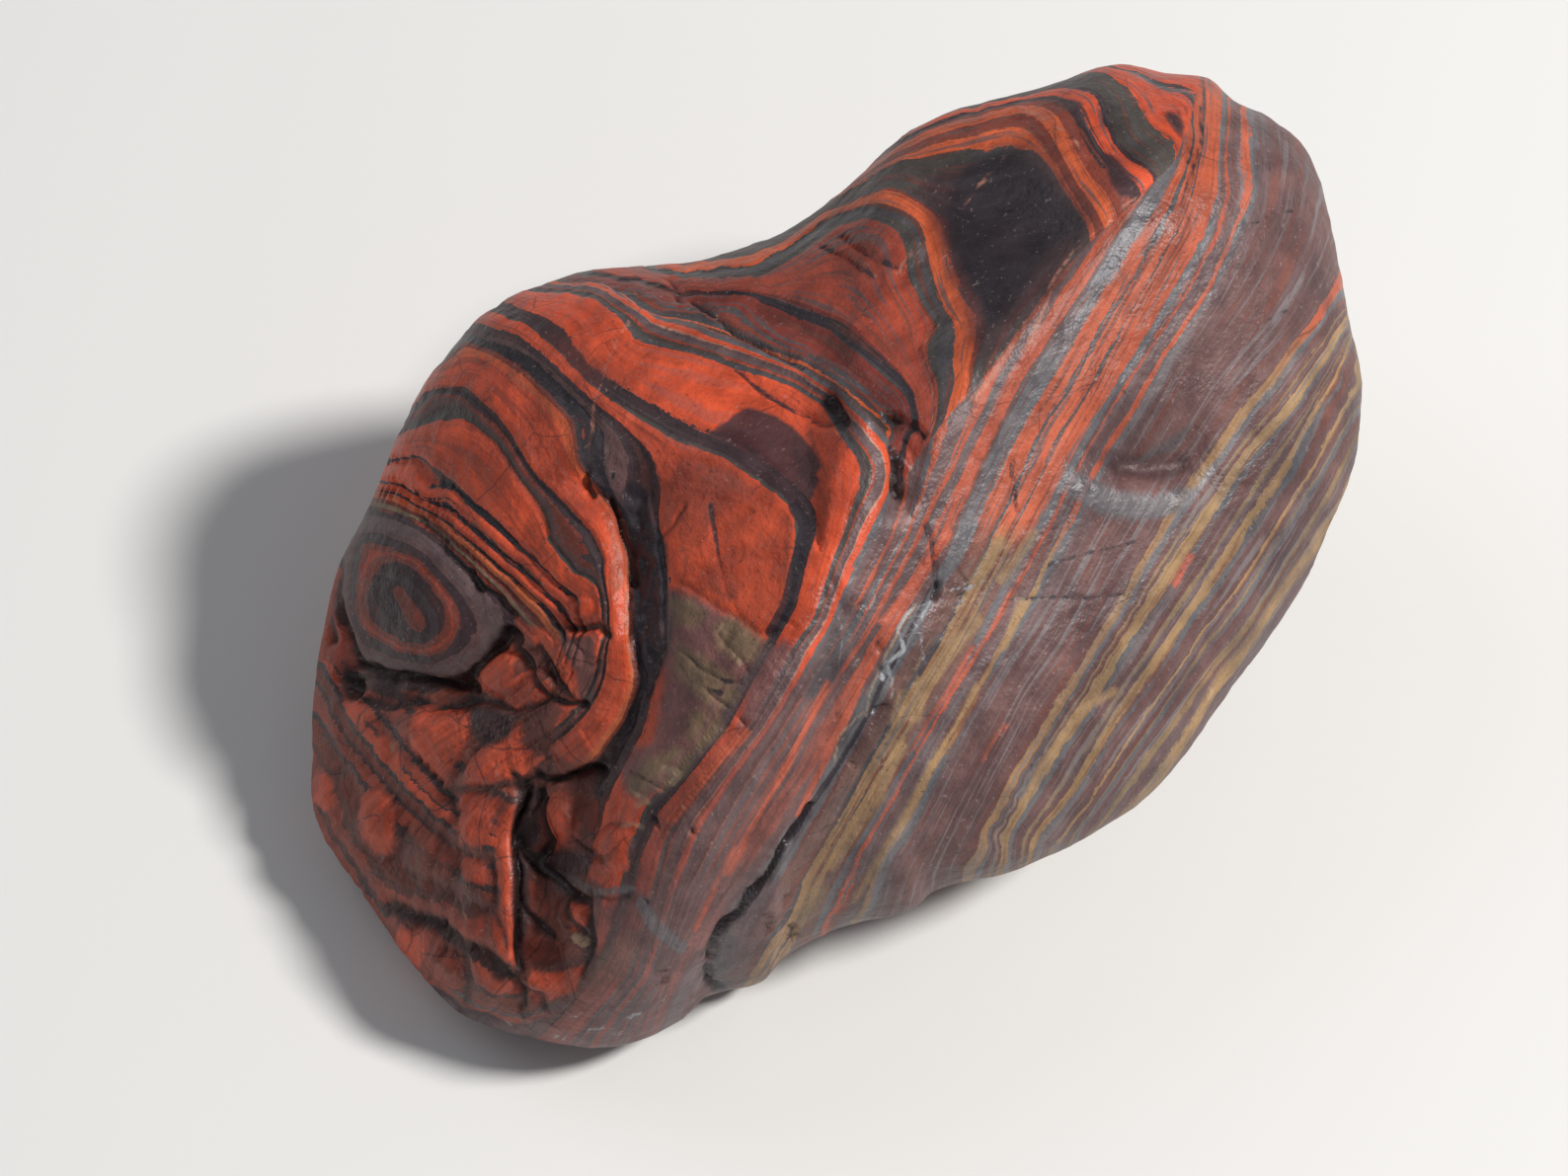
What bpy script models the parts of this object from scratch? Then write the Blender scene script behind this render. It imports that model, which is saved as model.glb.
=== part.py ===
"""A water-worn cobble of banded ironstone, one solid, lying on the flat that was worn under it.

The stone is laid out as it is seen by an eye above and in front of it. Across the line of sight a place is
(right, up) in millimetres on a picture plane through the stone's middle, and its depth is millimetres from
that plane towards the eye. The widest outline joins the near side and the far side along one rim.
"""

import math

import bmesh
import bpy
import numpy as np

MM = 0.001

# The eye that the stone is laid out for
EYE_ELEVATION = math.radians(57.0)
EYE_DISTANCE = 550.0
GROUND_BELOW_MIDDLE = 33.5

# How far the long axis lies from the eye's right hand, seen from above
LONG_AXIS_TURN = math.radians(42.0)

# Widest outline of the stone, clockwise from its upper left shoulder
OUTLINE = [
    (-31.9, 26.6), (-27.9, 29.6), (-23.4, 31.2), (-19.4, 32.3), (-11.9, 32.7), (-6.4, 33.9), (-0.4, 36.0),
    (4.6, 39.1), (8.1, 42.1), (10.6, 44.7), (15.6, 48.1), (20.6, 49.5), (28.1, 51.5), (33.6, 53.2),
    (38.6, 52.2), (42.8, 51.6), (45.6, 49.3), (51.6, 45.9), (54.1, 41.6), (55.8, 34.6), (57.1, 27.1),
    (58.5, 21.1), (58.1, 13.6), (55.6, 6.3), (52.1, -0.7), (45.6, -9.9), (38.6, -19.4), (32.6, -24.2),
    (22.9, -28.6), (15.8, -30.4), (12.6, -32.8), (5.6, -34.4), (0.1, -37.2), (-2.4, -39.9), (-8.2, -41.5),
    (-10.4, -43.7), (-15.4, -46.4), (-20.4, -47.3), (-26.4, -46.2), (-31.9, -44.7), (-36.4, -41.4),
    (-42.4, -32.9), (-47.6, -25.4), (-48.0, -18.4), (-47.4, -7.4), (-45.1, 2.1), (-40.9, 10.6),
    (-39.2, 15.1), (-36.1, 21.1),
]
OUTLINE_HEART = (4.0, 3.0)
OUTLINE_STEPS = 12

# Depth of the rim, at every thirty degrees round the heart from its right hand and counterclockwise
RIM_DEPTHS = [-9.0, -9.0, -13.0, -14.0, -14.5, -16.0, -17.0, -16.5, -8.0, -3.0, -1.0, -5.0]

# How round the sides are in front of the rim and behind it, as the radius of their curve at the rim
NEAR_SIDE_ROUNDNESS = 22.0
FAR_SIDE_ROUNDNESS = 27.0
RIM_WEAR = 7.0

# Broad faces, each as its depth over the picture's middle and its rise to the right and upwards
BROAD_FACE = (28.9, -0.528, 0.094)
BROAD_FACE_FOOT = (31.4, -0.347, 0.416)
LEFT_HUMP = (24.7, 0.52, -0.334)
LEFT_FACE = (32.2, 0.95, -0.05)
SHATTERED_END = (51.8, 0.62, 0.634)
UPPER_HUMP = (23.9, 0.62, -0.785)
SADDLE = (28.9, 0.261, -0.715)
UNDER_BROAD_FACE = (-52.0, 0.66, -0.45)
BACK_FACE = (-48.0, -0.2, 0.6)
FACE_WEAR = 6.0
RIDGE_WEAR = 3.2
FAR_WEAR = 14.0

# The belly is a shallow dome round a place (along, across) of the middle, with a flat worn on it there
BELLY_RADIUS = 420.0
BELLY_CENTRE = (12.0, -4.0)
FLAT_RADIUS = 22.0
BELLY_WEAR = 5.0

# Crest of the left hump: a steep wall drops from it to a valley, whose other bank climbs to the saddle
CREST = [
    (-40.0, 33.0), (-23.4, 31.0), (-19.4, 30.7), (-15.4, 29.1), (-9.4, 27.3), (-4.4, 25.4), (0.6, 23.9),
    (4.6, 21.6), (6.6, 19.6), (9.1, 17.0), (10.6, 15.0), (15.6, 7.5),
]
CREST_LEAN = 0.88
WALL_SLOPE = 2.4
WALL_EDGE_WEAR = 2.6
BANK_WIDTH = 5.4
BANK_SLOPE = 0.85
BANK_END = 13.5
BANK_FADE = 12.0
BANK_WEAR = 1.8
VALLEY_WEAR = 2.4
HUMP_SIDE_FALL = 3.0

# Hollows, grooves and ledges of the near side: route, half width, and height (a hollow's is negative)
NEAR_RELIEF = [
    # dark hollow of the upper hump, and the dent in the broad face with the grey lip under it
    ([(19.1, 40.5), (26.6, 35.5)], 5.5, -2.4),
    ([(33.6, 14.2), (39.8, 12.6)], 3.6, -1.8),
    ([(30.4, 10.2), (35.0, 8.8), (40.2, 9.0)], 2.3, 0.6),
    # cleft where the hump's wall meets the ridge
    ([(10.6, 15.6), (12.4, 13.4), (11.4, 9.4)], 1.8, -1.8),
    # worn strip of soft dark ore, and the harder red edge beside it
    ([(-14.4, 8.5), (-14.4, -0.5), (-13.2, -7.5), (-16.0, -15.5), (-19.2, -22.5)], 2.4, -2.1),
    ([(-21.5, 7.5), (-18.2, 1.5), (-17.8, -4.5)], 2.8, 0.8),
    # nodule standing proud at the left, with the groove and the ledge below it
    ([(-39.0, 1.0), (-36.4, -3.4)], 5.6, 2.7),
    ([(-44.4, -5.6), (-40.4, -9.4), (-35.4, -10.8), (-31.0, -9.2), (-28.6, -6.0)], 2.3, -1.7),
    ([(-42.4, -13.2), (-36.6, -14.4), (-31.2, -13.8)], 2.1, 0.9),
    # shattered end: an upright rib, the deep break beside it, and a second break
    ([(-28.9, -20.5), (-28.1, -30.5), (-27.6, -37.0)], 2.1, 1.5),
    ([(-24.6, -25.0), (-23.0, -29.5), (-24.6, -36.6)], 2.5, -3.2),
    ([(-20.6, -20.5), (-19.6, -26.5)], 2.1, -1.5),
    # open joint along the bedding down the broad face
    ([(8.6, -12.5), (1.6, -23.5), (-3.9, -32.0), (-7.0, -36.0), (-7.9, -41.5)], 2.0, -1.4),
]

# Beds stand out a little on the far side, where the stone wasn't rubbed flat
ACROSS_BEDS = (0.80, -0.44, 0.35)
BED_RIBS = [(9.1, 0.35, 0.0), (14.9, 0.5, 1.9), (21.7, 0.7, 4.1)]
RIBS_FULL_BEHIND_RIM = 10.0

# Mesh of the solid: quads along each side of the ball it is drawn from, and that ball's half sizes
BALL_SIDE = 28
BALL_LENGTH = 62.0
BALL_WIDTH = 46.0
BALL_HEIGHT = 34.0
TOWARDS_EYE = 0.28
SEARCH_REACH = 96.0
SEARCH_STEPS = 128
HALVINGS = 14
FLAT_TOLERANCE = 0.02

# Dull waxy red of the jasper beds, seen from a few steps away
STONE_COLOUR = (0.30, 0.085, 0.055, 1.0)
STONE_ROUGHNESS = 0.45


def smooth_max(first, second, wear):
    """The greater of two values, with the corner between them worn round."""
    overlap = np.clip(wear - np.abs(first - second), 0.0, None)
    return np.maximum(first, second) + overlap * overlap / (4.0 * wear)


def smooth_min(first, second, wear):
    return -smooth_max(-first, -second, wear)


def plane(face, right, up):
    depth, rise_right, rise_up = face
    return depth + rise_right * right + rise_up * up


def closed_curve(corners, steps):
    """Catmull-Rom curve through the corners of a closed outline."""
    points = np.array(corners)
    before = np.roll(points, 1, axis=0)
    after = np.roll(points, -1, axis=0)
    beyond = np.roll(points, -2, axis=0)
    spans = []
    for step in range(steps):
        t = step / steps
        spans.append(0.5 * (2.0 * points + (after - before) * t
                            + (2.0 * before - 5.0 * points + 4.0 * after - beyond) * t ** 2
                            + (3.0 * points - before - 3.0 * after + beyond) * t ** 3))
    return np.stack(spans, axis=1).reshape(-1, 2)


def outline_reach():
    """The outline's radius against the angle about its heart."""
    curve = closed_curve(OUTLINE, OUTLINE_STEPS) - np.array(OUTLINE_HEART)
    angle = np.arctan2(curve[:, 1], curve[:, 0])
    order = np.argsort(angle)
    radius = np.hypot(curve[:, 0], curve[:, 1])[order]
    return angle[order], radius


def rim_depths():
    """The rim's depth against the angle about the heart, as a smooth closed curve."""
    turns = np.linspace(0.0, 2.0 * math.pi, len(RIM_DEPTHS) * OUTLINE_STEPS, endpoint=False)
    corners = [(depth, 0.0) for depth in RIM_DEPTHS]
    return turns, closed_curve(corners, OUTLINE_STEPS)[:, 0]


REACH_ANGLE, REACH_RADIUS = outline_reach()
RIM_ANGLE, RIM_DEPTH = rim_depths()


def side_of_outline(right, up):
    """How far a place on the picture lies outside the outline, and the depth of the rim beside it."""
    from_right = right - OUTLINE_HEART[0]
    from_up = up - OUTLINE_HEART[1]
    angle = np.arctan2(from_up, from_right)
    radius = np.hypot(from_right, from_up)
    reach = np.interp(angle, REACH_ANGLE, REACH_RADIUS, period=2.0 * math.pi)
    rim = np.interp(angle, RIM_ANGLE, RIM_DEPTH, period=2.0 * math.pi)
    mean_rim = sum(RIM_DEPTHS) / len(RIM_DEPTHS)
    return radius - reach, mean_rim + (rim - mean_rim) * np.minimum(radius / reach, 1.0)


def distance_to_route(right, up, route):
    """Distance on the picture from each place to a bent line."""
    nearest = np.full(np.shape(right), np.inf)
    for (start_right, start_up), (end_right, end_up) in zip(route, route[1:]):
        run_right = end_right - start_right
        run_up = end_up - start_up
        along = (right - start_right) * run_right + (up - start_up) * run_up
        along = np.clip(along / (run_right ** 2 + run_up ** 2), 0.0, 1.0)
        away = np.hypot(right - start_right - along * run_right, up - start_up - along * run_up)
        nearest = np.minimum(nearest, away)
    return nearest


def past_crest(right, up):
    """Distance beyond the crest of the left hump, towards the saddle."""
    crest_right, crest_up = np.array(CREST).T
    return (up - np.interp(right, crest_right, crest_up)) * CREST_LEAN


def near_depth(right, up):
    broad = smooth_min(plane(BROAD_FACE, right, up), plane(BROAD_FACE_FOOT, right, up), FACE_WEAR)
    hump_top = plane(LEFT_HUMP, right, up)
    left = smooth_min(plane(SHATTERED_END, right, up), plane(LEFT_FACE, right, up), FACE_WEAR)
    past = past_crest(right, up)
    hump = smooth_min(hump_top, hump_top - WALL_SLOPE * past, WALL_EDGE_WEAR)
    hump = smooth_min(hump, left, FACE_WEAR)
    saddle = smooth_max(plane(SADDLE, right, up), plane(UPPER_HUMP, right, up), FACE_WEAR)
    bank_width = BANK_WIDTH * np.clip((BANK_END - right) / BANK_FADE, 0.0, 1.0)
    saddle = smooth_min(saddle, saddle + BANK_SLOPE * (past - bank_width), BANK_WEAR)
    saddle = saddle + HUMP_SIDE_FALL * np.minimum(past, 0.0)
    depth = smooth_min(smooth_max(hump, saddle, VALLEY_WEAR), broad, RIDGE_WEAR)
    for route, half_width, height in NEAR_RELIEF:
        away = distance_to_route(right, up, route) / half_width
        depth = depth + height * np.exp(-away ** 2)
    return depth


def far_depth(right, up):
    return smooth_max(plane(UNDER_BROAD_FACE, right, up), plane(BACK_FACE, right, up), FAR_WEAR)


def bed_ribs(right, up, depth):
    """How far the harder beds stand out of the worn surface."""
    across = ACROSS_BEDS[0] * right + ACROSS_BEDS[1] * up + ACROSS_BEDS[2] * depth
    return sum(height * np.sin(across * 2.0 * math.pi / spacing + shift)
               for spacing, height, shift in BED_RIBS)


def outside_stone(right, up, depth):
    """Positive outside the stone and negative inside, for places given as seen by the eye."""
    outside, rim = side_of_outline(right, up)
    before_rim = depth - rim
    roundness = np.where(before_rim > 0.0, NEAR_SIDE_ROUNDNESS, FAR_SIDE_ROUNDNESS)
    side = outside + before_rim ** 2 / (2.0 * roundness)
    near = depth - near_depth(right, up)
    far = far_depth(right, up) - depth
    body = smooth_max(smooth_max(side, near, RIM_WEAR), far, FAR_WEAR)
    behind = np.clip(-before_rim / RIBS_FULL_BEHIND_RIM, 0.0, 1.0)
    return body - behind * bed_ribs(right, up, depth)


def eye_axes():
    """The eye's right, up and line of sight, in the frame of the stone lying on the ground."""
    right = np.array((math.cos(LONG_AXIS_TURN), -math.sin(LONG_AXIS_TURN), 0.0))
    away = np.array((math.sin(LONG_AXIS_TURN), math.cos(LONG_AXIS_TURN), 0.0))
    top = np.array((0.0, 0.0, 1.0))
    up = away * math.sin(EYE_ELEVATION) + top * math.cos(EYE_ELEVATION)
    sight = top * math.sin(EYE_ELEVATION) - away * math.cos(EYE_ELEVATION)
    return right, up, sight


def outside_at(places):
    """Positive outside the stone, for places in the stone's own frame, in millimetres."""
    right, up, sight = eye_axes()
    depth = places @ sight
    nearness = EYE_DISTANCE / (EYE_DISTANCE - depth)
    stone = outside_stone(places @ right * nearness, places @ up * nearness, depth)
    below_ground = -GROUND_BELOW_MIDDLE - places[:, 2]
    from_contact = np.hypot(places[:, 0] - BELLY_CENTRE[0], places[:, 1] - BELLY_CENTRE[1])
    below_belly = below_ground + (from_contact ** 2 - FLAT_RADIUS ** 2) / (2.0 * BELLY_RADIUS)
    return np.maximum(smooth_max(stone, below_belly, BELLY_WEAR), below_ground)


def stone_surface(directions):
    """Walks in along each direction to the stone's skin, then halves the last step."""
    outer = np.full(len(directions), SEARCH_REACH)
    stride = SEARCH_REACH / SEARCH_STEPS
    walking = np.ones(len(directions), dtype=bool)
    for _ in range(SEARCH_STEPS - 1):
        ahead = outer - stride
        still_outside = outside_at(directions * ahead[:, None]) > 0.0
        walking &= still_outside
        outer = np.where(walking, ahead, outer)
    inner = outer - stride
    for _ in range(HALVINGS):
        middle = 0.5 * (inner + outer)
        outside = outside_at(directions * middle[:, None]) > 0.0
        outer = np.where(outside, middle, outer)
        inner = np.where(outside, inner, middle)
    return directions * outer[:, None]


def ball_directions(corners):
    """Evens out the corners of a divided cube into directions that suit a long, low stone."""
    directions = np.tan(corners * math.pi / 4.0)
    directions = directions / np.linalg.norm(directions, axis=1)[:, None]
    directions = directions * (BALL_LENGTH, BALL_WIDTH, BALL_HEIGHT)
    directions = directions / np.linalg.norm(directions, axis=1)[:, None] + TOWARDS_EYE * eye_axes()[2]
    return directions / np.linalg.norm(directions, axis=1)[:, None]


def set_down(places):
    """Puts the origin under the middle of the stone, on the ground, and makes the flat exact."""
    lowest = places[:, 2].min()
    highest = places.max(axis=0)
    middle = 0.5 * (places.min(axis=0) + highest)
    placed = places - (middle[0], middle[1], lowest)
    placed[:, 2] = np.where(placed[:, 2] < FLAT_TOLERANCE, 0.0, placed[:, 2])
    return placed


def make_stone():
    mesh = bpy.data.meshes.new("banded_ironstone")
    ball = bmesh.new()
    bmesh.ops.create_cube(ball, size=2.0)
    bmesh.ops.subdivide_edges(ball, edges=ball.edges[:], cuts=BALL_SIDE - 1, use_grid_fill=True)
    ball.to_mesh(mesh)
    ball.free()
    corners = np.array([vertex.co[:] for vertex in mesh.vertices])
    places = set_down(stone_surface(ball_directions(corners)))
    mesh.vertices.foreach_set("co", (places * MM).ravel())
    mesh.update()
    mesh.shade_smooth()
    stone = bpy.data.objects.new("banded_ironstone", mesh)
    bpy.context.scene.collection.objects.link(stone)
    return stone


def stone_material():
    material = bpy.data.materials.new("banded_jasper_and_iron_ore")
    material.use_nodes = True
    shader = material.node_tree.nodes["Principled BSDF"]
    shader.inputs["Base Color"].default_value = STONE_COLOUR
    shader.inputs["Roughness"].default_value = STONE_ROUGHNESS
    shader.inputs["Metallic"].default_value = 0.0
    return material


for old in list(bpy.data.objects):
    bpy.data.objects.remove(old, do_unlink=True)

stone = make_stone()
stone.data.materials.append(stone_material())
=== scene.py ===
"""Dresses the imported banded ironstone: its fine worn shape, its folded beds, and a plain studio round it."""

import math

import bmesh
import bpy
import numpy as np
from mathutils import Matrix, Vector, noise
from mathutils.bvhtree import BVHTree


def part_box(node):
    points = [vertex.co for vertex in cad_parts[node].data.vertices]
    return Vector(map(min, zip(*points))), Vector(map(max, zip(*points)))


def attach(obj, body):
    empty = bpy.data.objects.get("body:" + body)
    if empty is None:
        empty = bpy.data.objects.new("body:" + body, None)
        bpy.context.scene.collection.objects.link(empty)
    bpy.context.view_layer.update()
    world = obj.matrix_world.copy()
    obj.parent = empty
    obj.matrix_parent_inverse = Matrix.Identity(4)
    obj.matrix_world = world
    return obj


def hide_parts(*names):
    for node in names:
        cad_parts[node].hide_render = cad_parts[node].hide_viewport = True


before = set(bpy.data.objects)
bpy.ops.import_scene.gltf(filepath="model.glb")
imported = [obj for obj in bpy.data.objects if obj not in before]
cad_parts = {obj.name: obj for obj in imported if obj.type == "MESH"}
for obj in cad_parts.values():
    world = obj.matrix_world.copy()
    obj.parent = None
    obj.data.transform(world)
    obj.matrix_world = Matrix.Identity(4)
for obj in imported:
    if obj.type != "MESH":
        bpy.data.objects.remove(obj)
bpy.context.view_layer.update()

# The stone's body.
# The real piece is one cobble of iron ore and jasper, broken from an outcrop and worn round by water.
# Its main faces, hollows and ledges are the solid's own, found again here on a finer net of points.
MM = 0.001
EYE_ELEVATION = math.radians(57.0)
EYE_DISTANCE = 550.0
LONG_AXIS_TURN = math.radians(42.0)
PICTURE_MIDDLE = (-12.665, -4.260, 33.5)
EYE_RIGHT = np.array((math.cos(LONG_AXIS_TURN), -math.sin(LONG_AXIS_TURN), 0.0))
EYE_AWAY = np.array((math.sin(LONG_AXIS_TURN), math.cos(LONG_AXIS_TURN), 0.0))
UPRIGHT = np.array((0.0, 0.0, 1.0))
EYE_UP = EYE_AWAY * math.sin(EYE_ELEVATION) + UPRIGHT * math.cos(EYE_ELEVATION)
EYE_SIGHT = UPRIGHT * math.sin(EYE_ELEVATION) - EYE_AWAY * math.cos(EYE_ELEVATION)

OUTLINE = [
    (-31.9, 26.6), (-27.9, 29.6), (-23.4, 31.2), (-19.4, 32.3), (-11.9, 32.7), (-6.4, 33.9), (-0.4, 36.0),
    (4.6, 39.1), (8.1, 42.1), (10.6, 44.7), (15.6, 48.1), (20.6, 49.5), (28.1, 51.5), (33.6, 53.2),
    (38.6, 52.2), (42.8, 51.6), (45.6, 49.3), (51.6, 45.9), (54.1, 41.6), (55.8, 34.6), (57.1, 27.1),
    (58.5, 21.1), (58.1, 13.6), (55.6, 6.3), (52.1, -0.7), (45.6, -9.9), (38.6, -19.4), (32.6, -24.2),
    (22.9, -28.6), (15.8, -30.4), (12.6, -32.8), (5.6, -34.4), (0.1, -37.2), (-2.4, -39.9), (-8.2, -41.5),
    (-10.4, -43.7), (-15.4, -46.4), (-20.4, -47.3), (-26.4, -46.2), (-31.9, -44.7), (-36.4, -41.4),
    (-42.4, -32.9), (-47.6, -25.4), (-48.0, -18.4), (-47.4, -7.4), (-45.1, 2.1), (-40.9, 10.6),
    (-39.2, 15.1), (-36.1, 21.1),
]
OUTLINE_HEART = (4.0, 3.0)
OUTLINE_STEPS = 12
RIM_DEPTHS = [-9.0, -9.0, -13.0, -14.0, -14.5, -16.0, -17.0, -16.5, -8.0, -3.0, -1.0, -5.0]
NEAR_SIDE_ROUNDNESS = 22.0
FAR_SIDE_ROUNDNESS = 27.0
RIM_WEAR = 7.0
BROAD_FACE = (28.9, -0.528, 0.094)
BROAD_FACE_FOOT = (31.4, -0.347, 0.416)
LEFT_HUMP = (24.7, 0.52, -0.334)
LEFT_FACE = (32.2, 0.95, -0.05)
SHATTERED_END = (51.8, 0.62, 0.634)
UPPER_HUMP = (23.9, 0.62, -0.785)
SADDLE = (28.9, 0.261, -0.715)
UNDER_BROAD_FACE = (-52.0, 0.66, -0.45)
BACK_FACE = (-48.0, -0.2, 0.6)
FACE_WEAR = 6.0
RIDGE_WEAR = 3.2
FAR_WEAR = 14.0
BELLY_RADIUS = 420.0
BELLY_CENTRE = (12.0, -4.0)
FLAT_RADIUS = 22.0
BELLY_WEAR = 5.0
CREST = [
    (-40.0, 33.0), (-23.4, 31.0), (-19.4, 30.7), (-15.4, 29.1), (-9.4, 27.3), (-4.4, 25.4), (0.6, 23.9),
    (4.6, 21.6), (6.6, 19.6), (9.1, 17.0), (10.6, 15.0), (15.6, 7.5),
]
CREST_LEAN = 0.88
WALL_SLOPE = 3.4
WALL_EDGE_WEAR = 1.8
BANK_WIDTH = 5.4
BANK_SLOPE = 0.85
BANK_END = 13.5
BANK_FADE = 12.0
BANK_WEAR = 1.4
VALLEY_WEAR = 1.4
HUMP_SIDE_FALL = 3.0
NEAR_RELIEF = [
    ([(19.1, 40.5), (26.6, 35.5)], 5.5, -2.4),
    ([(33.6, 14.2), (39.8, 12.6)], 3.6, -1.8),
    ([(30.4, 10.2), (35.0, 8.8), (40.2, 9.0)], 2.3, 0.6),
    ([(10.6, 15.6), (12.4, 13.4), (11.4, 9.4)], 1.8, -1.8),
    ([(-14.4, 8.5), (-14.4, -0.5), (-13.2, -7.5), (-16.0, -15.5), (-19.2, -22.5)], 2.4, -2.1),
    ([(-21.5, 7.5), (-18.2, 1.5), (-17.8, -4.5)], 2.8, 0.8),
    ([(-39.0, 1.0), (-36.4, -3.4)], 5.6, 2.7),
    ([(-44.4, -5.6), (-40.4, -9.4), (-35.4, -10.8), (-31.0, -9.2), (-28.6, -6.0)], 2.3, -1.7),
    ([(-42.4, -13.2), (-36.6, -14.4), (-31.2, -13.8)], 2.1, 0.9),
    ([(8.6, -12.5), (1.6, -23.5), (-3.9, -32.0), (-7.0, -36.0), (-7.9, -41.5)], 1.6, -0.9),
]
# The steepest relief, which is pushed in along the line of sight once the net lies on the skin
STEEP_RELIEF = [
    ([(-30.4, -20.5), (-29.6, -30.5), (-29.1, -37.0)], 3.4, 1.0),
    ([(-24.6, -25.0), (-23.0, -29.5), (-24.6, -36.6)], 2.5, -3.2),
    ([(-20.6, -20.5), (-19.6, -26.5)], 2.1, -1.5),
]
ACROSS_BEDS = (0.80, -0.44, 0.35)
BED_RIBS = [(9.1, 0.35, 0.0), (14.9, 0.5, 1.9), (21.7, 0.7, 4.1)]
RIBS_FULL_BEHIND_RIM = 10.0

# Net of points: quads along each side of a ball, drawn in towards the eye, where the best of the stone is
BALL_SIDE = 127
BALL_SIZE = (62.0, 46.0, 34.0)
TOWARDS_EYE = 0.42
TOWARDS_BROKEN_END = 0.13
SEARCH_MARGIN = 5.5
HALVINGS = 14
STEEP_RELIEF_ABOVE = -6.0


def smooth_max(first, second, wear):
    """The greater of two values, with the corner between them worn round."""
    overlap = np.clip(wear - np.abs(first - second), 0.0, None)
    return np.maximum(first, second) + overlap * overlap / (4.0 * wear)


def smooth_min(first, second, wear):
    return -smooth_max(-first, -second, wear)


def plane(face, right, up):
    depth, rise_right, rise_up = face
    return depth + rise_right * right + rise_up * up


def closed_curve(corners, steps):
    """Catmull-Rom curve through the corners of a closed outline."""
    points = np.array(corners)
    before = np.roll(points, 1, axis=0)
    after = np.roll(points, -1, axis=0)
    beyond = np.roll(points, -2, axis=0)
    spans = []
    for step in range(steps):
        t = step / steps
        spans.append(0.5 * (2.0 * points + (after - before) * t
                            + (2.0 * before - 5.0 * points + 4.0 * after - beyond) * t ** 2
                            + (3.0 * points - before - 3.0 * after + beyond) * t ** 3))
    return np.stack(spans, axis=1).reshape(-1, 2)


def outline_reach():
    """The outline's radius against the angle about its heart."""
    curve = closed_curve(OUTLINE, OUTLINE_STEPS) - np.array(OUTLINE_HEART)
    angle = np.arctan2(curve[:, 1], curve[:, 0])
    order = np.argsort(angle)
    return angle[order], np.hypot(curve[:, 0], curve[:, 1])[order]


def rim_depths():
    """The rim's depth against the angle about the heart, as a smooth closed curve."""
    turns = np.linspace(0.0, 2.0 * math.pi, len(RIM_DEPTHS) * OUTLINE_STEPS, endpoint=False)
    corners = [(depth, 0.0) for depth in RIM_DEPTHS]
    return turns, closed_curve(corners, OUTLINE_STEPS)[:, 0]


REACH_ANGLE, REACH_RADIUS = outline_reach()
RIM_ANGLE, RIM_DEPTH = rim_depths()


def side_of_outline(right, up):
    """How far a place lies outside the outline, and the depth of the rim beside it."""
    from_right = right - OUTLINE_HEART[0]
    from_up = up - OUTLINE_HEART[1]
    angle = np.arctan2(from_up, from_right)
    radius = np.hypot(from_right, from_up)
    reach = np.interp(angle, REACH_ANGLE, REACH_RADIUS, period=2.0 * math.pi)
    rim = np.interp(angle, RIM_ANGLE, RIM_DEPTH, period=2.0 * math.pi)
    mean_rim = sum(RIM_DEPTHS) / len(RIM_DEPTHS)
    return radius - reach, mean_rim + (rim - mean_rim) * np.minimum(radius / reach, 1.0)


def distance_to_route(across, along, route):
    """Distance from each place to a bent line."""
    nearest = np.full(np.shape(across), np.inf)
    for (start_across, start_along), (end_across, end_along) in zip(route, route[1:]):
        run_across = end_across - start_across
        run_along = end_along - start_along
        share = (across - start_across) * run_across + (along - start_along) * run_along
        share = np.clip(share / (run_across ** 2 + run_along ** 2), 0.0, 1.0)
        away = np.hypot(across - start_across - share * run_across, along - start_along - share * run_along)
        nearest = np.minimum(nearest, away)
    return nearest


def raised(right, up, relief):
    """Height of a list of worn ribs and grooves at each place."""
    return sum(height * np.exp(-(distance_to_route(right, up, route) / half_width) ** 2)
               for route, half_width, height in relief)


def near_depth(right, up):
    broad = smooth_min(plane(BROAD_FACE, right, up), plane(BROAD_FACE_FOOT, right, up), FACE_WEAR)
    hump_top = plane(LEFT_HUMP, right, up)
    left = smooth_min(plane(SHATTERED_END, right, up), plane(LEFT_FACE, right, up), FACE_WEAR)
    crest_right, crest_up = np.array(CREST).T
    past = (up - np.interp(right, crest_right, crest_up)) * CREST_LEAN
    hump = smooth_min(hump_top, hump_top - WALL_SLOPE * past, WALL_EDGE_WEAR)
    hump = smooth_min(hump, left, FACE_WEAR)
    saddle = smooth_max(plane(SADDLE, right, up), plane(UPPER_HUMP, right, up), FACE_WEAR)
    bank_width = BANK_WIDTH * np.clip((BANK_END - right) / BANK_FADE, 0.0, 1.0)
    saddle = smooth_min(saddle, saddle + BANK_SLOPE * (past - bank_width), BANK_WEAR)
    saddle = saddle + HUMP_SIDE_FALL * np.minimum(past, 0.0)
    depth = smooth_min(smooth_max(hump, saddle, VALLEY_WEAR), broad, RIDGE_WEAR)
    return depth + raised(right, up, NEAR_RELIEF)


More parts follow.
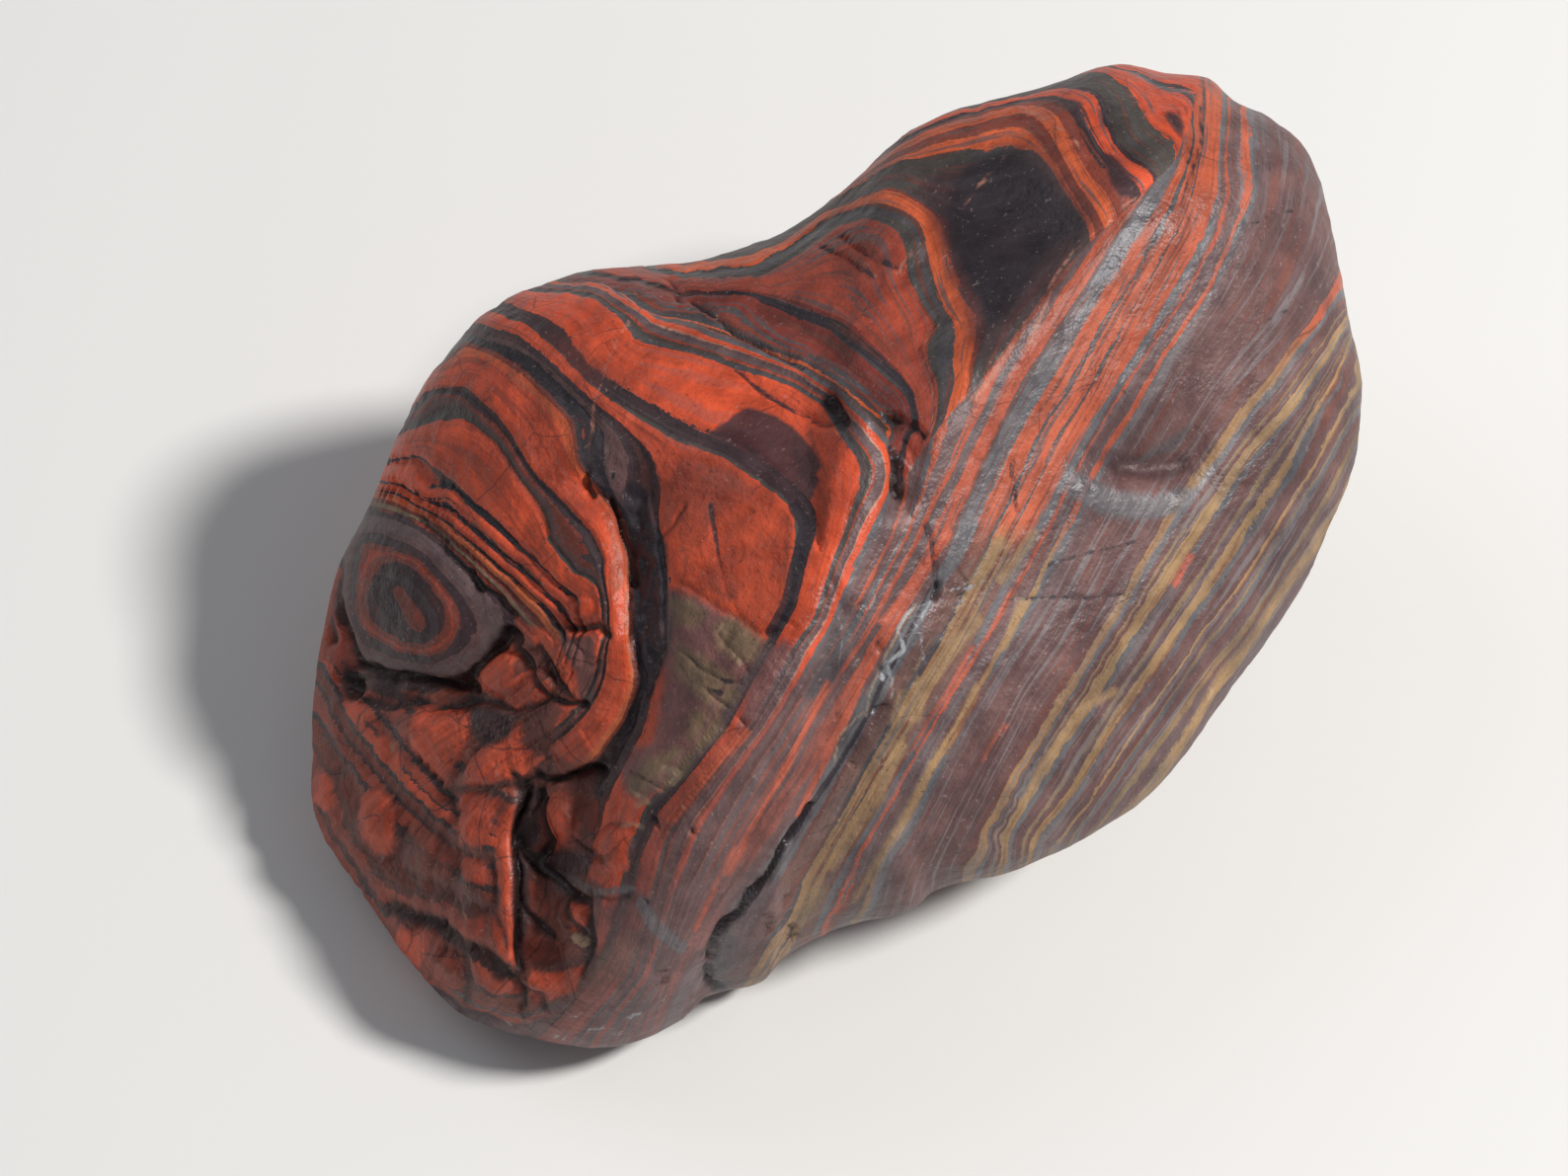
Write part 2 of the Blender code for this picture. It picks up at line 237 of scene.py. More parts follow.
def outside_stone(right, up, depth):
    """Positive outside the stone and negative inside, for places given as seen by the eye."""
    outside, rim = side_of_outline(right, up)
    before_rim = depth - rim
    roundness = np.where(before_rim > 0.0, NEAR_SIDE_ROUNDNESS, FAR_SIDE_ROUNDNESS)
    side = outside + before_rim ** 2 / (2.0 * roundness)
    near = depth - near_depth(right, up)
    far = smooth_max(plane(UNDER_BROAD_FACE, right, up), plane(BACK_FACE, right, up), FAR_WEAR) - depth
    body = smooth_max(smooth_max(side, near, RIM_WEAR), far, FAR_WEAR)
    behind = np.clip(-before_rim / RIBS_FULL_BEHIND_RIM, 0.0, 1.0)
    across = ACROSS_BEDS[0] * right + ACROSS_BEDS[1] * up + ACROSS_BEDS[2] * depth
    ribs = sum(height * np.sin(across * 2.0 * math.pi / spacing + shift)
               for spacing, height, shift in BED_RIBS)
    return body - behind * ribs


def as_seen(places):
    """Right, up and depth of places given from the picture's middle, along the stone's own axes."""
    depth = places @ EYE_SIGHT
    nearness = EYE_DISTANCE / (EYE_DISTANCE - depth)
    return places @ EYE_RIGHT * nearness, places @ EYE_UP * nearness, depth


def outside_at(places):
    stone = outside_stone(*as_seen(places))
    below_ground = -PICTURE_MIDDLE[2] - places[:, 2]
    from_contact = np.hypot(places[:, 0] - BELLY_CENTRE[0], places[:, 1] - BELLY_CENTRE[1])
    below_belly = below_ground + (from_contact ** 2 - FLAT_RADIUS ** 2) / (2.0 * BELLY_RADIUS)
    return np.maximum(smooth_max(stone, below_belly, BELLY_WEAR), below_ground)


def net_of_directions():
    """Quads of a divided cube, and the direction from the middle to each of their corners."""
    ball = bmesh.new()
    bmesh.ops.create_cube(ball, size=2.0)
    bmesh.ops.subdivide_edges(ball, edges=ball.edges[:], cuts=BALL_SIDE - 1, use_grid_fill=True)
    mesh = bpy.data.meshes.new("banded_ironstone_skin")
    ball.to_mesh(mesh)
    ball.free()
    corners = np.empty(len(mesh.vertices) * 3)
    mesh.vertices.foreach_get("co", corners)
    directions = np.tan(corners.reshape(-1, 3) * math.pi / 4.0)
    directions = directions / np.linalg.norm(directions, axis=1)[:, None] * BALL_SIZE
    drawn_in = TOWARDS_EYE * EYE_SIGHT - TOWARDS_BROKEN_END * (EYE_RIGHT + EYE_UP)
    directions = directions / np.linalg.norm(directions, axis=1)[:, None] + drawn_in
    return mesh, directions / np.linalg.norm(directions, axis=1)[:, None]


def places_on_solid(directions):
    """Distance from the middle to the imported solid's skin along each direction, in millimetres."""
    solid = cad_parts["banded_ironstone"].data
    solid.calc_loop_triangles()
    corners = [vertex.co.copy() for vertex in solid.vertices]
    skin = BVHTree.FromPolygons(corners, [triangle.vertices[:] for triangle in solid.loop_triangles])
    middle = Vector(PICTURE_MIDDLE) * MM
    return np.array([skin.ray_cast(middle, Vector(direction))[3] for direction in directions]) / MM


def fine_surface(directions):
    """Finds the worn shape near the solid's skin, by halving a short stretch of each direction."""
    on_solid = places_on_solid(directions)
    inner = on_solid - SEARCH_MARGIN
    outer = on_solid + SEARCH_MARGIN
    for _ in range(HALVINGS):
        middle = 0.5 * (inner + outer)
        outside = outside_at(directions * middle[:, None]) > 0.0
        outer = np.where(outside, middle, outer)
        inner = np.where(outside, inner, middle)
    places = directions * outer[:, None]
    right, up, depth = as_seen(places)
    to_eye = EYE_SIGHT * EYE_DISTANCE - places
    steep = np.where(depth > STEEP_RELIEF_ABOVE, raised(right, up, STEEP_RELIEF), 0.0)
    return places + to_eye * (steep / np.linalg.norm(to_eye, axis=1))[:, None]


skin_mesh, skin_directions = net_of_directions()
skin_places = fine_surface(skin_directions)
skin_mesh.vertices.foreach_set("co", ((skin_places + PICTURE_MIDDLE) * MM).ravel())
skin_mesh.update()
skin_mesh.shade_smooth()
stone = bpy.data.objects.new("banded_ironstone_skin", skin_mesh)
bpy.context.scene.collection.objects.link(stone)
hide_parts("banded_ironstone")
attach(stone, "root")

# The folded beds.
# The real stone is laid down in thin beds of red jasper and grey iron ore, which were folded before it broke
# free. Each horizon is one bed's edge as it crosses the near side; its value is its place in the pile of beds.
# Places on the picture are (across, down) in tenths of a millimetre from the upper left corner.
PICTURE_CENTRE = (794.0, 595.5)
TENTH = 10.0
HORIZON_STEP = 28.0
HORIZON_SLACK = 0.4
HIDDEN_DRIFT = (5.2, 3.4)

HUMP_AND_FACE_HORIZONS = [
    # edge of the nodule, and the thin grooved beds outside it
    (-215.0, [(352, 520), (380, 517), (430, 535), (470, 570), (500, 600), (522, 632), (545, 660)]),
    (-195.0, [(365, 500), (400, 505), (440, 528), (480, 560), (520, 598), (550, 625), (565, 650)]),
    (-176.0, [(380, 483), (400, 483), (430, 503), (455, 502), (500, 545), (540, 580), (575, 618)]),
    # red lens
    (-168.0, [(395, 462), (420, 460), (450, 483), (500, 523), (540, 562), (570, 592), (590, 610)]),
    (-140.0, [(402, 442), (430, 428), (470, 428), (500, 450), (525, 485), (545, 520), (555, 548), (580, 580)]),
    (-125.0, [(415, 415), (440, 392), (470, 393), (500, 418), (520, 445), (545, 483), (575, 513), (600, 540),
              (612, 565), (612, 592)]),
    # broad red bed and the dark bed round it
    (-82.0, [(445, 372), (470, 345), (505, 357), (530, 375), (560, 398), (582, 418), (590, 440), (592, 470),
             (610, 500), (632, 528), (641, 560), (641, 610), (642, 650), (645, 690), (632, 730), (600, 775),
             (560, 800), (530, 830)]),
    (-62.0, [(478, 326), (520, 338), (550, 357), (580, 384), (603, 408), (628, 428), (648, 448), (662, 470),
             (668, 495), (668, 530), (674, 570), (677, 610), (676, 645), (664, 690), (652, 735), (630, 775),
             (612, 810), (606, 850), (612, 890), (600, 940)]),
    (-53.0, [(675, 462), (700, 490), (740, 520), (742, 560), (740, 600)]),
    (-44.0, [(492, 314), (530, 330), (562, 356), (592, 387), (620, 407), (650, 427), (690, 449), (730, 462),
             (760, 483), (785, 500), (803, 516), (806, 545), (801, 575), (797, 605), (785, 630), (762, 662),
             (740, 700), (720, 740), (690, 775), (655, 815), (632, 860), (625, 900), (612, 950)]),
    (-32.0, [(500, 303), (540, 318), (575, 345), (605, 375), (640, 398), (680, 425), (712, 440), (745, 452),
             (772, 470), (800, 492), (820, 512), (824, 535), (816, 570), (808, 600), (798, 625), (782, 655),
             (760, 695), (738, 735), (708, 775), (668, 822), (650, 860), (640, 905), (625, 960)]),
    # red bed that turns over the nose of the hump
    (0.0, [(540, 296), (575, 296), (605, 305), (628, 322), (642, 342), (670, 351), (705, 359), (740, 372),
           (775, 381), (805, 393), (828, 408), (852, 444), (866, 464), (869, 485), (862, 510), (853, 540),
           (842, 570), (833, 600), (822, 630), (805, 652), (785, 688), (765, 725), (735, 765), (700, 808),
           (672, 850), (660, 900), (640, 970)]),
    (22.0, [(560, 289), (600, 291), (640, 312), (665, 330), (700, 342), (740, 357), (775, 368), (810, 382),
            (840, 400), (870, 430), (890, 457), (896, 480), (892, 497), (880, 516), (866, 542), (856, 566),
            (846, 595), (832, 632), (812, 665), (790, 705), (765, 745), (730, 790), (700, 830), (680, 880),
            (655, 975)]),
    (38.0, [(640, 303), (665, 318), (700, 328), (745, 344), (775, 357), (812, 371), (845, 391), (875, 418),
            (898, 440), (906, 462), (905, 495), (897, 525), (882, 558), (866, 590), (848, 628), (826, 668),
            (800, 710), (770, 757), (740, 800), (715, 845), (690, 900), (662, 990)]),
    # beds of the broad face
    (82.0, [(1100, 228), (1065, 285), (1030, 340), (1005, 385), (985, 425), (965, 470), (945, 510), (928, 548),
            (905, 590), (880, 635), (850, 680), (825, 722), (800, 765), (768, 812), (742, 858), (715, 905),
            (685, 965), (665, 1015)]),
    (109.0, [(1187, 160), (1158, 205), (1128, 250), (1098, 298), (1068, 345), (1040, 390), (1015, 435),
             (993, 482), (976, 520), (960, 557), (938, 598), (912, 640), (888, 682), (866, 722), (845, 762),
             (820, 805), (790, 852), (762, 895), (738, 935), (722, 975)]),
    (124.0, [(1196, 160), (1174, 205), (1143, 252), (1114, 300), (1086, 348), (1058, 395), (1032, 440),
             (1010, 485), (992, 522), (976, 560), (953, 602), (930, 642), (906, 686), (884, 725), (862, 765),
             (838, 808), (812, 853), (785, 897), (760, 940), (742, 985)]),
    (142.0, [(1212, 112), (1212, 145), (1204, 180), (1190, 215), (1166, 260), (1142, 302), (1115, 350),
             (1088, 400), (1062, 443), (1040, 485), (1018, 530), (1000, 570), (978, 612), (950, 660),
             (925, 705), (898, 750), (872, 795), (848, 840), (822, 885), (800, 935)]),
    (168.0, [(1236, 110), (1235, 150), (1234, 190), (1222, 230), (1195, 275), (1168, 322), (1134, 380),
             (1100, 440), (1065, 505), (1034, 560), (1003, 620), (965, 685), (932, 742), (900, 795),
             (868, 850), (836, 905), (822, 945)]),
    (180.0, [(1247, 115), (1243, 160), (1248, 195), (1238, 235), (1208, 295), (1184, 332), (1147, 385),
             (1108, 450), (1072, 520), (1038, 590), (1005, 645), (975, 695), (942, 750), (910, 808),
             (880, 860), (855, 920)]),
    (192.0, [(1262, 115), (1268, 155), (1270, 195), (1252, 238), (1221, 300), (1176, 365), (1142, 428),
             (1115, 468), (1085, 530), (1052, 600), (1018, 655), (988, 705), (955, 765), (925, 822),
             (898, 870), (880, 920)]),
    (205.0, [(1284, 125), (1287, 170), (1280, 215), (1262, 250), (1235, 300), (1195, 362), (1160, 425),
             (1132, 475), (1100, 535), (1066, 605), (1032, 660), (1002, 712), (970, 772), (942, 828),
             (915, 875), (900, 920)]),
    (275.0, [(1348, 285), (1330, 318), (1305, 350), (1280, 380), (1257, 405), (1235, 440), (1215, 470),
             (1192, 500), (1165, 545), (1132, 605), (1098, 660), (1060, 715), (1030, 770), (1000, 825),
             (975, 875)]),
    (287.0, [(1356, 300), (1338, 330), (1318, 352), (1292, 388), (1268, 418), (1248, 452), (1225, 482),
             (1203, 508), (1178, 550), (1146, 608), (1108, 668), (1075, 722), (1045, 775), (1015, 830),
             (990, 880)]),
    (306.0, [(1356, 325), (1333, 362), (1308, 398), (1288, 422), (1258, 456), (1234, 492), (1208, 530),
             (1162, 598), (1120, 665), (1094, 710), (1062, 757), (1038, 792), (1010, 845)]),
    (320.0, [(1364, 335), (1342, 370), (1318, 408), (1298, 432), (1270, 465), (1246, 502), (1220, 540),
             (1174, 612), (1132, 680), (1106, 722), (1075, 768), (1052, 805), (1025, 850)]),
    (345.0, [(1366, 345), (1345, 392), (1325, 425), (1308, 455), (1290, 490), (1262, 530), (1235, 575),
             (1205, 620), (1175, 665), (1130, 728), (1090, 790), (1045, 852)]),
    (360.0, [(1378, 385), (1352, 432), (1328, 475), (1302, 515), (1275, 560), (1245, 605), (1212, 650),
             (1180, 700), (1140, 755), (1100, 815), (1065, 862)]),
    (395.0, [(1376, 440), (1350, 490), (1322, 535), (1290, 590), (1255, 640), (1215, 692), (1180, 742),
             (1140, 798), (1105, 845)]),
    (416.0, [(1362, 512), (1340, 540), (1310, 590), (1275, 645), (1235, 697), (1200, 750), (1172, 795),
             (1130, 838)]),
]

UPPER_HORIZONS = [
    (0.0, [(500, 300), (555, 287), (600, 285), (628, 296), (655, 314), (700, 325), (745, 340), (785, 357),
           (812, 369), (845, 389), (872, 411), (898, 431)]),
    (10.0, [(560, 283), (600, 280), (640, 295), (670, 310), (700, 314), (745, 328), (785, 348), (820, 362),
            (850, 378), (880, 402), (905, 425)]),
    (30.0, [(580, 277), (640, 283), (680, 296), (720, 298), (755, 298), (785, 310), (812, 323), (838, 334),
            (862, 352), (885, 369), (905, 387), (918, 402), (922, 422)]),
    (39.0, [(590, 275), (645, 278), (685, 290), (725, 293), (758, 292), (790, 302), (820, 314), (846, 326),
            (870, 343), (893, 362), (913, 380), (926, 398), (931, 425)]),
    (100.0, [(640, 270), (690, 284), (730, 284), (765, 281), (795, 267), (818, 252), (838, 236), (858, 225),
             (880, 221), (900, 227), (914, 240), (918, 258), (916, 275), (924, 292), (935, 312), (948, 330),
             (938, 350), (941, 372), (948, 392), (948, 412), (943, 436)]),
    (118.0, [(680, 271), (730, 268), (762, 267), (785, 256), (808, 242), (830, 224), (855, 213), (880, 208),
             (905, 212), (925, 222), (934, 240), (939, 262), (946, 290), (957, 315), (968, 335), (966, 360),
             (967, 390), (960, 415), (950, 438)]),
    (132.0, [(700, 268), (755, 260), (790, 247), (815, 230), (838, 214), (862, 205), (885, 198), (905, 197),
             (930, 208), (948, 222), (957, 245), (962, 270), (974, 293), (988, 318), (988, 345), (981, 372),
             (978, 395), (972, 420)]),
    (165.0, [(745, 251), (785, 236), (812, 219), (840, 204), (862, 191), (885, 176), (905, 167), (930, 163),
             (960, 158), (990, 152), (1020, 148), (1048, 152), (1066, 172), (1080, 196), (1096, 222),
             (1102, 240)]),
    (195.0, [(855, 192), (885, 168), (905, 154), (935, 139), (965, 128), (1000, 119), (1030, 112), (1055, 116),
             (1070, 134), (1082, 160), (1096, 186), (1112, 208), (1122, 225)]),
    (216.0, [(900, 151), (930, 134), (962, 120), (1000, 109), (1040, 102), (1066, 102), (1083, 112),
             (1096, 132), (1112, 156), (1132, 182), (1148, 200)]),
    (240.0, [(925, 133), (960, 115), (1000, 103), (1040, 95), (1070, 89), (1095, 90), (1112, 100), (1119, 124),
             (1130, 148), (1148, 166), (1168, 179)]),
    (272.0, [(985, 106), (1035, 91), (1070, 81), (1100, 75), (1118, 74), (1134, 84), (1152, 102), (1160, 126),
             (1178, 140), (1191, 152), (1190, 165)]),
    (292.0, [(1100, 70), (1125, 69), (1150, 73), (1168, 84), (1188, 90), (1210, 102), (1214, 130),
             (1204, 160)]),
    (304.0, [(1150, 67), (1180, 75), (1205, 77), (1224, 88), (1230, 120), (1222, 160), (1205, 195)]),
]

NODULE_RINGS = [
    (0.0, [(404, 600), (416, 618), (426, 636)]),
    (1.0, [(399, 590), (409, 598), (422, 614), (433, 632), (428, 643), (416, 636), (405, 622), (398, 606),
           (399, 590)]),
    (2.0, [(384, 577), (400, 568), (420, 577), (436, 592), (448, 612), (449, 630), (438, 646), (422, 651),
           (403, 647), (388, 638), (377, 627), (374, 608), (377, 590), (384, 577)]),
    (3.0, [(368, 549), (386, 553), (406, 561), (430, 574), (450, 596), (463, 620), (463, 641), (450, 658),
           (430, 666), (405, 661), (385, 649), (368, 634), (361, 608), (363, 580), (368, 549)]),
    (4.0, [(359, 542), (380, 534), (402, 541), (432, 556), (462, 584), (482, 610), (491, 636), (480, 656),
           (456, 670), (430, 676), (400, 672), (370, 660), (354, 638), (349, 605), (352, 570), (359, 542)]),
    (5.0, [(366, 512), (400, 519), (432, 536), (472, 570), (502, 600), (522, 633), (500, 668), (475, 690),
           (436, 694), (398, 686), (362, 672), (346, 640), (341, 600), (347, 560), (366, 512)]),
]

# Layers of the broken end, which run down to the right and turn under the stone
END_HORIZONS = [
    (0.0, [(346, 668), (354, 686), (378, 712), (402, 742), (430, 775), (452, 800)]),
    (15.0, [(330, 680), (352, 728), (385, 772), (420, 808), (458, 838)]),
    (32.0, [(318, 720), (340, 760), (375, 800), (402, 832), (432, 862), (466, 884), (505, 900)]),
    (60.0, [(312, 790), (334, 846), (352, 872), (372, 905), (400, 930), (440, 942), (480, 962), (515, 988)]),
    (95.0, [(318, 860), (340, 905), (385, 960), (420, 992), (470, 1026), (520, 1042), (575, 1030)]),
]
END_SIDE = [
    (300, 660), (350, 676), (400, 690), (470, 700), (515, 655), (545, 650), (575, 700), (560, 740), (550, 770),
    (600, 790), (606, 840), (615, 880), (606, 930), (600, 990), (560, 1036), (500, 1060), (440, 1040),
    (380, 1010), (300, 930), (270, 800),
]

HUMP_SIDE_EDGE = [
    (480, 322), (510, 300), (553, 287), (600, 286), (628, 298), (655, 315), (700, 326), (745, 341), (785, 358),
    (812, 370), (845, 390), (872, 413), (895, 436), (912, 470), (908, 498), (935, 455), (955, 428), (985, 395),
    (1010, 365), (1040, 322), (1062, 292), (1105, 243), (1150, 204), (1190, 163), (1206, 120), (1214, 85),
    (1225, 40), (400, -60), (300, 250),
]


def on_picture(right, up):
    """Tenths of a millimetre across and down the picture, from millimetres to the right and up."""
    return PICTURE_CENTRE[0] + right * TENTH, PICTURE_CENTRE[1] - up * TENTH


def along_route(route, step):
    """Places along a bent line, no further apart than a step."""
    places = [route[0]]
    for (start_x, start_y), (end_x, end_y) in zip(route, route[1:]):
        parts = max(1, math.ceil(math.hypot(end_x - start_x, end_y - start_y) / step))
        for part in range(1, parts + 1):
            share = part / parts
            places.append((start_x + share * (end_x - start_x), start_y + share * (end_y - start_y)))
    return places


def spread(across, down):
    """How a thin bent plate answers to a push, against the distance from it."""
    distance = across * across + down * down
    return 0.5 * distance * np.log(distance + 1e-9)


def pile_of_beds(horizons):
    """The place in the pile of beds as a function of the place on the picture, bent through all horizons."""
    values = []
    places = []
    for value, route in horizons:
        points = along_route(route, HORIZON_STEP)
        places.extend(points)
        values.extend([value] * len(points))
    places = np.array(places) / 100.0
    count = len(places)
    across = places[:, 0]
    down = places[:, 1]
    system = np.zeros((count + 3, count + 3))
    system[:count, :count] = spread(across[:, None] - across, down[:, None] - down)
    system[:count, :count] += np.eye(count) * HORIZON_SLACK / 100.0
    flat = np.column_stack((np.ones(count), across, down))
    system[:count, count:] = flat
    system[count:, :count] = flat.T
    weights = np.linalg.solve(system, np.concatenate((values, np.zeros(3))))

    def place_in_pile(picture_across, picture_down):
        pushed = np.empty(len(picture_across))
        for start in range(0, len(pushed), 4000):
            part = slice(start, start + 4000)
            here_across = picture_across[part, None] / 100.0
            here_down = picture_down[part, None] / 100.0
            pushed[part] = spread(here_across - across, here_down - down) @ weights[:count]
        tilt = weights[count + 1] * picture_across / 100.0 + weights[count + 2] * picture_down / 100.0
        return pushed + weights[count] + tilt

    return place_in_pile


def distance_into(across, down, patch):
    """Distance to the edge of a closed patch, positive inside it."""
    inside = np.zeros(np.shape(across), dtype=bool)
    edge = patch if patch[0] == patch[-1] else patch + patch[:1]
    for (start_x, start_y), (end_x, end_y) in zip(edge, edge[1:]):
        if start_y == end_y:
            continue
        crosses = (start_y > down) != (end_y > down)
        meets = start_x + (down - start_y) * (end_x - start_x) / (end_y - start_y)
        inside ^= crosses & (across < meets)
    away = distance_to_route(across, down, edge)
    return np.where(inside, away, -away)


seen_right, seen_up, seen_depth = as_seen(skin_places)
skin_outside, skin_rim = side_of_outline(seen_right, seen_up)
behind_rim = np.clip(skin_rim - seen_depth, 0.0, None)
drift = behind_rim ** 2 / (behind_rim + 6.0)
skin_across, skin_down = on_picture(seen_right + HIDDEN_DRIFT[0] * drift / TENTH, seen_up)
skin_down = skin_down + HIDDEN_DRIFT[1] * drift


def keep_on_skin(name, values):
    """Stores one number for each point of the skin, for the shader to read."""
    layer = skin_mesh.attributes.new(name, "FLOAT", "POINT")
    layer.data.foreach_set("value", np.asarray(values, dtype=np.float32))


hump_beds = pile_of_beds(HUMP_AND_FACE_HORIZONS)(skin_across, skin_down)
upper_beds = pile_of_beds(UPPER_HORIZONS)(skin_across, skin_down)
nodule_rings = pile_of_beds(NODULE_RINGS)(skin_across, skin_down)
keep_on_skin("hump_beds", hump_beds)
keep_on_skin("upper_beds", upper_beds)
nodule_side = distance_into(skin_across, skin_down, NODULE_RINGS[-1][1])
keep_on_skin("nodule_rings", np.where((nodule_side > -12.0) & (behind_rim < 4.0), nodule_rings, 9.0))
keep_on_skin("upper_side", distance_into(skin_across, skin_down, HUMP_SIDE_EDGE))
keep_on_skin("end_beds", pile_of_beds(END_HORIZONS)(skin_across, skin_down))
end_side = distance_into(skin_across, skin_down, END_SIDE)
keep_on_skin("end_side", np.where(behind_rim < 12.0, end_side, -60.0))
# Rock of each kind: colour when fresh, colour where it has weathered, roughness, metal shine, and hardness
ROCKS = {
    "jasper": ((0.620, 0.080, 0.028), (0.620, 0.080, 0.028), 0.46, 0.0, 1.0),
    "face jasper": ((0.420, 0.086, 0.044), (0.420, 0.086, 0.044), 0.50, 0.0, 0.8),
    "turning jasper": ((0.470, 0.100, 0.048), (0.290, 0.168, 0.084), 0.50, 0.0, 0.8),
    "fading jasper": ((0.450, 0.090, 0.040), (0.165, 0.085, 0.070), 0.50, 0.0, 0.7),
    "orange jasper": ((0.620, 0.112, 0.036), (0.560, 0.125, 0.040), 0.48, 0.0, 0.9),
    "brick jasper": ((0.360, 0.056, 0.028), (0.360, 0.056, 0.028), 0.48, 0.0, 0.8),
    "brown jasper": ((0.215, 0.044, 0.027), (0.215, 0.044, 0.027), 0.50, 0.0, 0.7),
    "broken jasper": ((0.125, 0.033, 0.024), (0.125, 0.033, 0.024), 0.52, 0.0, 0.6),
    "deep jasper": ((0.200, 0.032, 0.022), (0.200, 0.032, 0.022), 0.48, 0.0, 0.6),
    "maroon": ((0.135, 0.070, 0.068), (0.135, 0.070, 0.068), 0.52, 0.05, 0.4),
    "dark maroon": ((0.055, 0.029, 0.034), (0.055, 0.029, 0.034), 0.48, 0.1, 0.3),
    "mixed": ((0.140, 0.088, 0.090), (0.140, 0.088, 0.090), 0.50, 0.1, 0.3),
    "ore": ((0.090, 0.082, 0.088), (0.090, 0.082, 0.088), 0.46, 0.2, 0.1),
    "blue ore": ((0.135, 0.130, 0.142), (0.135, 0.130, 0.142), 0.46, 0.2, 0.1),
    "dark ore": ((0.036, 0.028, 0.035), (0.036, 0.028, 0.035), 0.42, 0.25, 0.0),
    "green grey": ((0.075, 0.066, 0.060), (0.075, 0.066, 0.060), 0.48, 0.1, 0.2),
    "ochre": ((0.320, 0.200, 0.098), (0.320, 0.200, 0.098), 0.58, 0.0, 0.5),
    "olive": ((0.230, 0.155, 0.088), (0.230, 0.155, 0.088), 0.55, 0.0, 0.4),
    "cream": ((0.420, 0.300, 0.190), (0.420, 0.300, 0.190), 0.55, 0.0, 0.6),
    "quartz": ((0.330, 0.350, 0.375), (0.330, 0.350, 0.375), 0.42, 0.0, 0.9),
    "pale": ((0.480, 0.200, 0.140), (0.480, 0.200, 0.140), 0.52, 0.0, 0.9),
}

HUMP_BEDS = [
    (-400.0, "mixed"), (-215.0, "brick jasper"), (-210.5, "dark maroon"), (-208.0, "olive"),
    (-203.0, "brown jasper"), (-198.0, "orange jasper"), (-190.0, "dark ore"), (-188.0, "jasper"),
    (-181.0, "dark ore"), (-179.0, "jasper"), (-171.5, "dark ore"), (-168.5, "jasper"), (-140.0, "green grey"), (-137.0, "maroon"),
    (-133.0, "brown jasper"), (-130.0, "dark maroon"), (-125.0, "jasper"), (-92.0, "orange jasper"),
    (-86.0, "brown jasper"), (-82.0, "dark ore"), (-74.0, "maroon"), (-70.0, "dark maroon"),
    (-62.0, "jasper"), (-44.0, "green grey"), (-42.0, "dark maroon"), (-32.0, "jasper"), (0.0, "ore"),
    (5.0, "green grey"), (9.0, "brick jasper"), (12.0, "mixed"), (22.0, "pale"), (24.5, "jasper"),
    (31.0, "blue ore"),
]
FACE_BEDS = [
    (36.0, "mixed"), (46.0, "maroon"), (50.0, "face jasper"), (53.0, "mixed"), (57.0, "blue ore"), (66.0, "face jasper"),
    (70.0, "mixed"), (78.0, "face jasper"), (84.0, "mixed"), (92.0, "face jasper"), (104.0, "maroon"),
    (109.0, "blue ore"), (124.0, "fading jasper"), (136.0, "ore"), (138.5, "turning jasper"),
    (148.0, "ore"), (150.0, "turning jasper"), (157.0, "fading jasper"), (168.0, "blue ore"),
    (173.0, "mixed"), (175.0, "face jasper"), (178.0, "mixed"), (187.0, "turning jasper"), (192.0, "blue ore"),
    (196.0, "mixed"), (205.0, "maroon"),
]
EDGE_BEDS = [
    (270.0, "maroon"), (277.0, "turning jasper"), (286.0, "blue ore"), (291.0, "maroon"), (299.0, "olive"),
    (302.0, "maroon"), (307.0, "ochre"), (317.0, "blue ore"), (322.0, "maroon"), (333.0, "olive"),
    (337.0, "mixed"), (341.0, "ochre"), (347.0, "blue ore"), (351.0, "maroon"), (359.0, "ochre"),
    (362.0, "mixed"), (370.0, "olive"), (373.0, "blue ore"), (378.0, "maroon"), (386.0, "mixed"),
    (392.0, "olive"), (399.0, "mixed"), (409.0, "ochre"), (417.0, "mixed"),
]
UPPER_BEDS = [
    (-100.0, "green grey"), (0.0, "orange jasper"), (3.0, "ore"), (7.0, "brown jasper"), (10.0, "ore"),
    (12.0, "deep jasper"), (29.0, "dark ore"), (38.0, "deep jasper"), (42.0, "brick jasper"),
    (99.0, "green grey"), (108.0, "ore"), (118.0, "orange jasper"), (132.0, "brown jasper"),
    (135.0, "green grey"), (146.0, "maroon"), (149.0, "green grey"), (165.0, "orange jasper"),
    (173.0, "brown jasper"), (186.0, "orange jasper"), (202.0, "brown jasper"), (212.0, "dark maroon"),
    (222.0, "jasper"), (238.0, "dark maroon"), (243.0, "green grey"), (272.0, "jasper"),
    (291.0, "dark ore"), (295.0, "jasper"),
]
NODULE_BEDS = [
    (-1.0, "brown jasper"), (0.75, "dark maroon"), (2.05, "brown jasper"), (2.5, "brick jasper"),
    (2.74, "brown jasper"), (3.0, "dark maroon"), (3.7, "maroon"), (4.0, "mixed"), (4.7, "dark maroon"),
]
